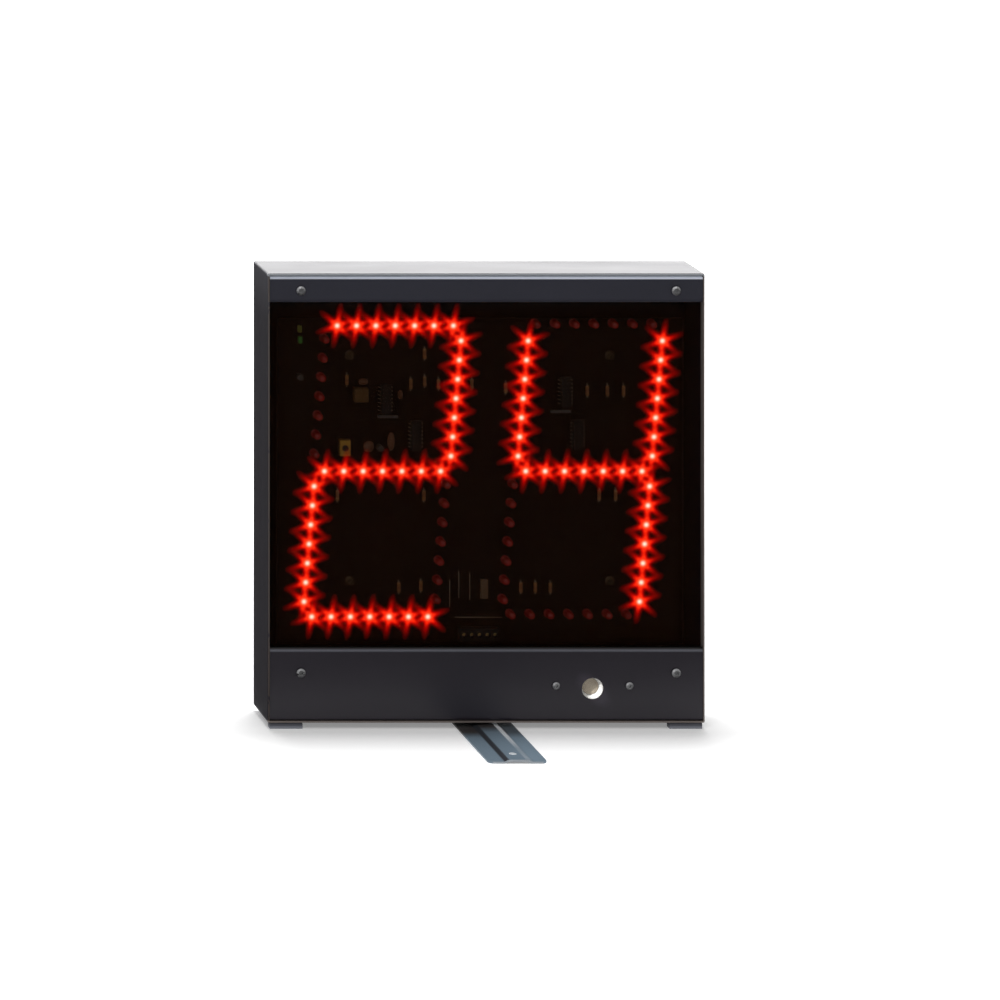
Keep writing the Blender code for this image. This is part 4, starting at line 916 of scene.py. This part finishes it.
class CLOCK_OT_sockets(PieceOperator, bpy.types.Operator):
    """Finish the sockets and the switch in the back, and mark the rocker"""

    bl_idname = "clock.sockets"
    bl_label = "Sockets and switch"

    def make(self, scene):
        colours = scene.clock_case
        moulded = speckled(
            "moulded black", colours.plastic, 0.45, grain=0.7 * MM, depth=0.04 * MM, spread=0.2
        )
        dress(moulded, "rocker_frame", "data_socket", "power_rocker")
        made = Finish("inlet plastic and pins", Specular_IOR_Level=0.5)
        middle, back = centre("power_inlet"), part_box("power_inlet")[1].y
        x, y, z = made.along("X") - middle.x, made.along("Y"), made.along("Z") - middle.z
        half_width, half_height, spread, rise = 1.05 * MM, 2.05 * MM, 7 * MM, 4 * MM
        root, tip = back - 15.4 * MM, back - 2.9 * MM
        outer = (abs(abs(x) - spread) < half_width) * (abs(z) < half_height)
        earth = (abs(x) < half_width) * (abs(z - rise) < half_height)
        pins = (outer + earth) * (y > root) * (y < tip)
        grit = made.noise(0.7 * MM, 3.0)
        plastic = grit.mix(*shades(colours.plastic, 0.2))
        made.vary("Base Color", pins.mix(plastic, (0.55, 0.53, 0.50)))
        made.vary("Metallic", pins)
        made.vary("Roughness", grit * 0.1 + 0.4 - pins * 0.12)
        made.bump(grit, 0.04 * MM)
        dress(made.material, "power_inlet")
        self.contacts()
        self.rocker_marks()

    @staticmethod
    def contacts():
        """Sleeves in the three holes of the data socket."""
        face = centre("data_socket")
        face.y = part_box("data_socket")[1].y - 3.0 * MM
        sleeve = turned("sleeve", millimetres([(1.0, 0.0), (1.38, 0.0), (1.38, -3.0)]), 12)
        sleeve.transform(Matrix.Rotation(math.pi, 4, "Z"))
        places = [face + Vector((x * MM, 0, z * MM)) for x, z in ((4.9, 0), (-4.9, 0), (0, 4.9))]
        silver = brushed("silvered contact", (0.60, 0.58, 0.55), 0.25)
        piece("data_contacts", copies("data_contacts", sleeve, places), silver)

    @staticmethod
    def rocker_marks():
        """A bar and a ring, printed on the rocker's two ends."""
        white = speckled("white print", (0.72, 0.72, 0.70), 0.5)
        low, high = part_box("power_rocker")
        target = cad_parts["power_rocker"]
        for name, share in (("on_mark", 0.76), ("off_mark", 0.24)):
            z = low.z + (high.z - low.z) * share
            start = Vector((centre("power_rocker").x, high.y + 10 * MM, z))
            hit, spot, normal, _ = target.ray_cast(start, Vector((0, -1, 0)))
            if not hit:
                raise RuntimeError(f"{name} finds no rocker under it")
            turn = normal.to_track_quat("Z", "Y").to_matrix().to_4x4()
            place = Matrix.Translation(spot + normal * 0.02 * MM) @ turn
            if name == "on_mark":
                shape = bmesh.new()
                size = Matrix.Diagonal((0.3 * MM, 2.4 * MM, 0.03 * MM, 1))
                bmesh.ops.create_cube(shape, size=1, matrix=size)
                mesh = mesh_of(name, shape)
            else:
                rim = [(1.2, 0.02), (0.9, 0.02), (0.9, -0.01), (1.2, -0.01), (1.2, 0.02)]
                mesh = turned(name, millimetres(rim), 20, axis="up")
            mesh.transform(place)
            piece(name, mesh, white, body="rocker")


class CLOCK_OT_foot(PieceOperator, bpy.types.Operator):
    """Finish the foot's blue zinc and the pads' rubber"""

    bl_idname = "clock.foot"
    bl_label = "Foot and pads"

    def make(self, scene):
        colours = scene.clock_case
        self.zinc(colours)
        self.rubber(colours)
        dress(speckled("nylon", colours.plastic, 0.5), "foot_washer")

    def zinc(self, colours):
        """Painted shadow where the foot leaves the case, painted shade along one fold and towards its end,
        painted light on its right side, a painted highlight along the other fold and round the hole, and bare
        at its ends.
        """
        made = Finish("blue zinc", Metallic=0.35)
        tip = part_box("stand_foot")[1].y
        hole_inset, hole_radius, hole_rim = 13.0 * MM, 2.0 * MM, 0.35 * MM
        x, reach = made.along("X"), abs(made.along("Y"))
        lines = made.noise(0.5 * MM, 2.0, (1, 24, 1))
        cloudy = made.noise(11 * MM, 4.0, (1, 3, 1)) * 0.35 + made.noise(1.3 * MM, 3.0) * 0.65
        # Painted light: the right side of the foot is lighter, as lit from the right
        right = made.rise(x, 9 * MM, 2 * MM)
        pale = tuple(min(1.0, c * 1.6) for c in colours.zinc)
        zinc = (cloudy + right * 0.4).mix(colours.zinc, pale)
        # Painted shadow of the case on the foot, nearest the case and lighter on the right
        flat = made.rise(abs(x), 5 * MM, 4 * MM) * (8 * MM)
        plain = made.rise(reach - flat, 24 * MM, 12 * MM)
        zinc = plain.mix((right * 0.5).mix(colours.case_shadow, colours.zinc), zinc)
        # Painted shade, growing towards the foot's end
        zinc = (made.rise(reach, 55 * MM, 41 * MM) * 0.30).mix(zinc, colours.foot_shade)
        # Painted shade down the left wall of the rib
        shaded_wall = self.band(made, -9.2 * MM, -5.2 * MM).mix(zinc, colours.foot_shade)
        # Painted highlight down the right wall of the rib, fading away from the case
        fading = 1.0 - made.rise(reach, 38 * MM, 35.7 * MM)
        fading = fading.math("MAXIMUM", fading, 0.14)
        fold_highlight = (self.band(made, 4.6 * MM, 9.8 * MM) * fading).mix(shaded_wall, FOLD_SHINE)
        end = made.rise(reach, tip - 0.3 * MM, 0.1 * MM)
        # Painted highlight round the hole and on its far wall
        away = reach - (tip - hole_inset)
        rim = made.start.math("SQRT", x * x + away * away) < hole_radius + hole_rim
        made.vary("Base Color", rim.mix(end.mix(fold_highlight, colours.cut), HOLE_SHINE))
        made.vary("Roughness", lines * 0.14 + 0.38)
        made.bump(lines, 0.006 * MM)
        dress(made.material, "stand_foot")

    @staticmethod
    def rubber(colours):
        """The pads, with painted light on their lower part, towards the floor."""
        made = Finish("pad rubber")
        grit = made.noise(0.5 * MM, 3.0)
        # Painted light on the lower part of the pads, towards the floor
        lit_lower = made.limit(made.fall(made.along("Z"), 2.4 * MM, 1.4 * MM) * (grit * 0.4 + 0.7))
        plain = grit.mix(*shades(colours.rubber, 0.2))
        made.vary("Base Color", lit_lower.mix(plain, colours.lit_lower))
        made.vary("Roughness", grit * 0.1 + 0.70)
        made.bump(grit, 0.04 * MM)
        dress(made.material, "foot_pad_left", "foot_pad_right")

    @staticmethod
    def band(made, low, high):
        """1 along a stripe of the foot between two places across it, with soft sides."""
        x, soft = made.along("X"), 0.9 * MM
        return made.rise(x, low, soft) * made.fall(x, high, soft)


class CLOCK_OT_stage(PieceOperator, bpy.types.Operator):
    """Set the floor, the lamps, the even light and the camera"""

    bl_idname = "clock.stage"
    bl_label = "Stage"

    def make(self, scene):
        stage = scene.clock_stage
        self.floor(stage)
        self.sky(scene, stage)
        self.card("card_before", low=(-0.35, -2.6), high=(1.6, -0.11))
        self.card("card_beside", low=(-1.7, -0.2), high=(-0.145, 3.0))
        self.lamp("key", stage.key_power, place=(0, 0.20, 2.0), aim=(0, 0.19, 0), size=(0.5, 0.36))
        self.lamp("fill", stage.fill_power, place=(-0.9, -1.5, 1.9), aim=(0, 0, 0.15), size=(1.3, 1.3))
        self.lamp("strip", stage.strip_power, place=(0.40, 1.39, 0.73), aim=(0, 0, 0.29), size=(1.4, 0.5))
        self.snoot(stage)
        self.camera(scene, stage)
        scene.view_settings.view_transform = "Standard"

    @staticmethod
    def shown_white(start):
        """1 for the rays that show the white surroundings: from the camera, in gloss and through glass."""
        rays = [
            start.node("ShaderNodeLightPath", output=name)
            for name in ("Is Camera Ray", "Is Glossy Ray", "Is Transmission Ray")
        ]
        return start.math("MINIMUM", rays[0] + rays[1] + rays[2], 1.0)

    def floor(self, stage):
        """A pale floor that glows a little, less near the clock, so that it melts into the surroundings."""
        half = stage.floor_size / 2
        mesh = bpy.data.meshes.new("floor")
        corners = [(-half, -half, 0), (half, -half, 0), (half, half, 0), (-half, half, 0)]
        mesh.from_pydata(corners, [], [(0, 1, 2, 3)])
        obj = put("floor", mesh)
        made = Finish("pale floor", Specular_IOR_Level=0.0, Roughness=1.0, Emission_Strength=1.0)
        made.vary("Base Color", made.noise(4 * MM).mix(*shades(stage.floor, 0.01)))
        x, y = made.along("X"), made.along("Y")
        away = made.start.math("SQRT", x * x + y * y)
        glow = made.rise(away, 0.35, 0.40) * 0.80 + 0.24
        made.vary("Emission Color", (self.shown_white(made.start) * glow).mix((0, 0, 0), (1, 1, 1)))
        mesh.materials.append(made.material)

    @staticmethod
    def card(name, low, high):
        """A black card flat on the floor that only reflections see, so that the satin paint stays dark."""
        mesh = bpy.data.meshes.new(name)
        level = 0.5 * MM
        corners = [(low[0], low[1]), (high[0], low[1]), (high[0], high[1]), (low[0], high[1])]
        mesh.from_pydata([(x, y, level) for x, y in corners], [], [(0, 1, 2, 3)])
        obj = put(name, mesh)
        black = Finish("black card", Base_Color=(0.01, 0.01, 0.01, 1), Roughness=1.0)
        mesh.materials.append(black.material)
        obj.visible_camera = obj.visible_diffuse = False
        obj.visible_transmission = obj.visible_shadow = False

    def sky(self, scene, stage):
        """White surroundings that light the clock more dimly than they look."""
        world = bpy.data.worlds.new("even light")
        world.use_nodes = True
        scene.world = world
        start = Value(world.node_tree)
        white = self.shown_white(start)
        background = world.node_tree.nodes["Background"]
        background.inputs["Color"].default_value = (1, 1, 1, 1)
        strength = white * (1 - stage.sky) + stage.sky
        world.node_tree.links.new(strength.socket, background.inputs["Strength"])

    @staticmethod
    def lamp(name, power, place, aim, size):
        """A flat lamp, hidden from the camera."""
        light = bpy.data.lights.new(name, "AREA")
        light.shape = "RECTANGLE"
        light.size, light.size_y = size
        light.energy = power
        obj = put(name, light)
        obj.location = place
        obj.rotation_euler = (Vector(place) - Vector(aim)).to_track_quat("Z", "Y").to_euler()
        obj.visible_camera = False

    @staticmethod
    def snoot(stage):
        """A narrow lamp from the upper left, into the sounder's hole."""
        target = centre("sounder_disc")
        target.y = CASE_FRONT
        light = bpy.data.lights.new("snoot", "SPOT")
        light.energy = stage.snoot_power
        light.spot_size = math.radians(0.94)
        light.spot_blend = 0.2
        light.shadow_soft_size = 2 * MM
        obj = put("snoot", light)
        toward, distance = Vector((-0.60, -0.50, 0.62)).normalized(), 0.75
        obj.location = target + toward * distance
        obj.rotation_euler = toward.to_track_quat("Z", "Y").to_euler()

    @staticmethod
    def camera(scene, stage):
        """A camera with its film parallel to the front, as the picture has it: off its axis, not tilted."""
        eye, aim = Vector(stage.eye), Vector(stage.aim)
        back = (eye - aim).normalized()
        rig = put("camera_rig", None)
        data = bpy.data.cameras.new("camera")
        film, pixels = 36, 1000
        data.sensor_width = film
        data.lens = film * (eye - aim).length / (pixels * stage.pixel)
        camera = put("camera", data)
        camera.parent = rig
        turn = Matrix(((1, 0, back.x), (0, 0, back.y), (0, 1, back.z))).to_4x4()
        camera.matrix_parent_inverse = Matrix.Translation(eye) @ turn
        scene.camera = camera


class CLOCK_PT_panel(bpy.types.Panel):
    """Lists the pieces of the clock in the sidebar"""

    bl_idname = "CLOCK_PT_panel"
    bl_label = "Shot clock"
    bl_space_type = "VIEW_3D"
    bl_region_type = "UI"
    bl_category = "Shot clock"

    def draw(self, context):
        for group in GROUPS:
            box, settings = self.layout.box(), getattr(context.scene, group)
            for name in settings.__annotations__:
                box.prop(settings, name)
        for operator in OPERATORS:
            self.layout.operator(operator.bl_idname)


GROUPS = {
    "clock_case": CLOCK_PG_case,
    "clock_display": CLOCK_PG_display,
    "clock_board": CLOCK_PG_board,
    "clock_stage": CLOCK_PG_stage,
}
OPERATORS = (
    CLOCK_OT_stage,
    CLOCK_OT_paint,
    CLOCK_OT_window,
    CLOCK_OT_fasteners,
    CLOCK_OT_boards,
    CLOCK_OT_leds,
    CLOCK_OT_starlight,
    CLOCK_OT_board_parts,
    CLOCK_OT_sounder,
    CLOCK_OT_sockets,
    CLOCK_OT_foot,
)


def register():
    for group in (*GROUPS.values(), *OPERATORS, CLOCK_PT_panel):
        bpy.utils.register_class(group)
    for name, group in GROUPS.items():
        setattr(bpy.types.Scene, name, PointerProperty(type=group))


def unregister():
    for name in GROUPS:
        delattr(bpy.types.Scene, name)
    for group in (CLOCK_PT_panel, *OPERATORS, *GROUPS.values()):
        bpy.utils.unregister_class(group)


def main():
    register()
    for operator in OPERATORS:
        category, name = operator.bl_idname.split(".")
        getattr(getattr(bpy.ops, category), name)()


if __name__ == "__main__":
    main()
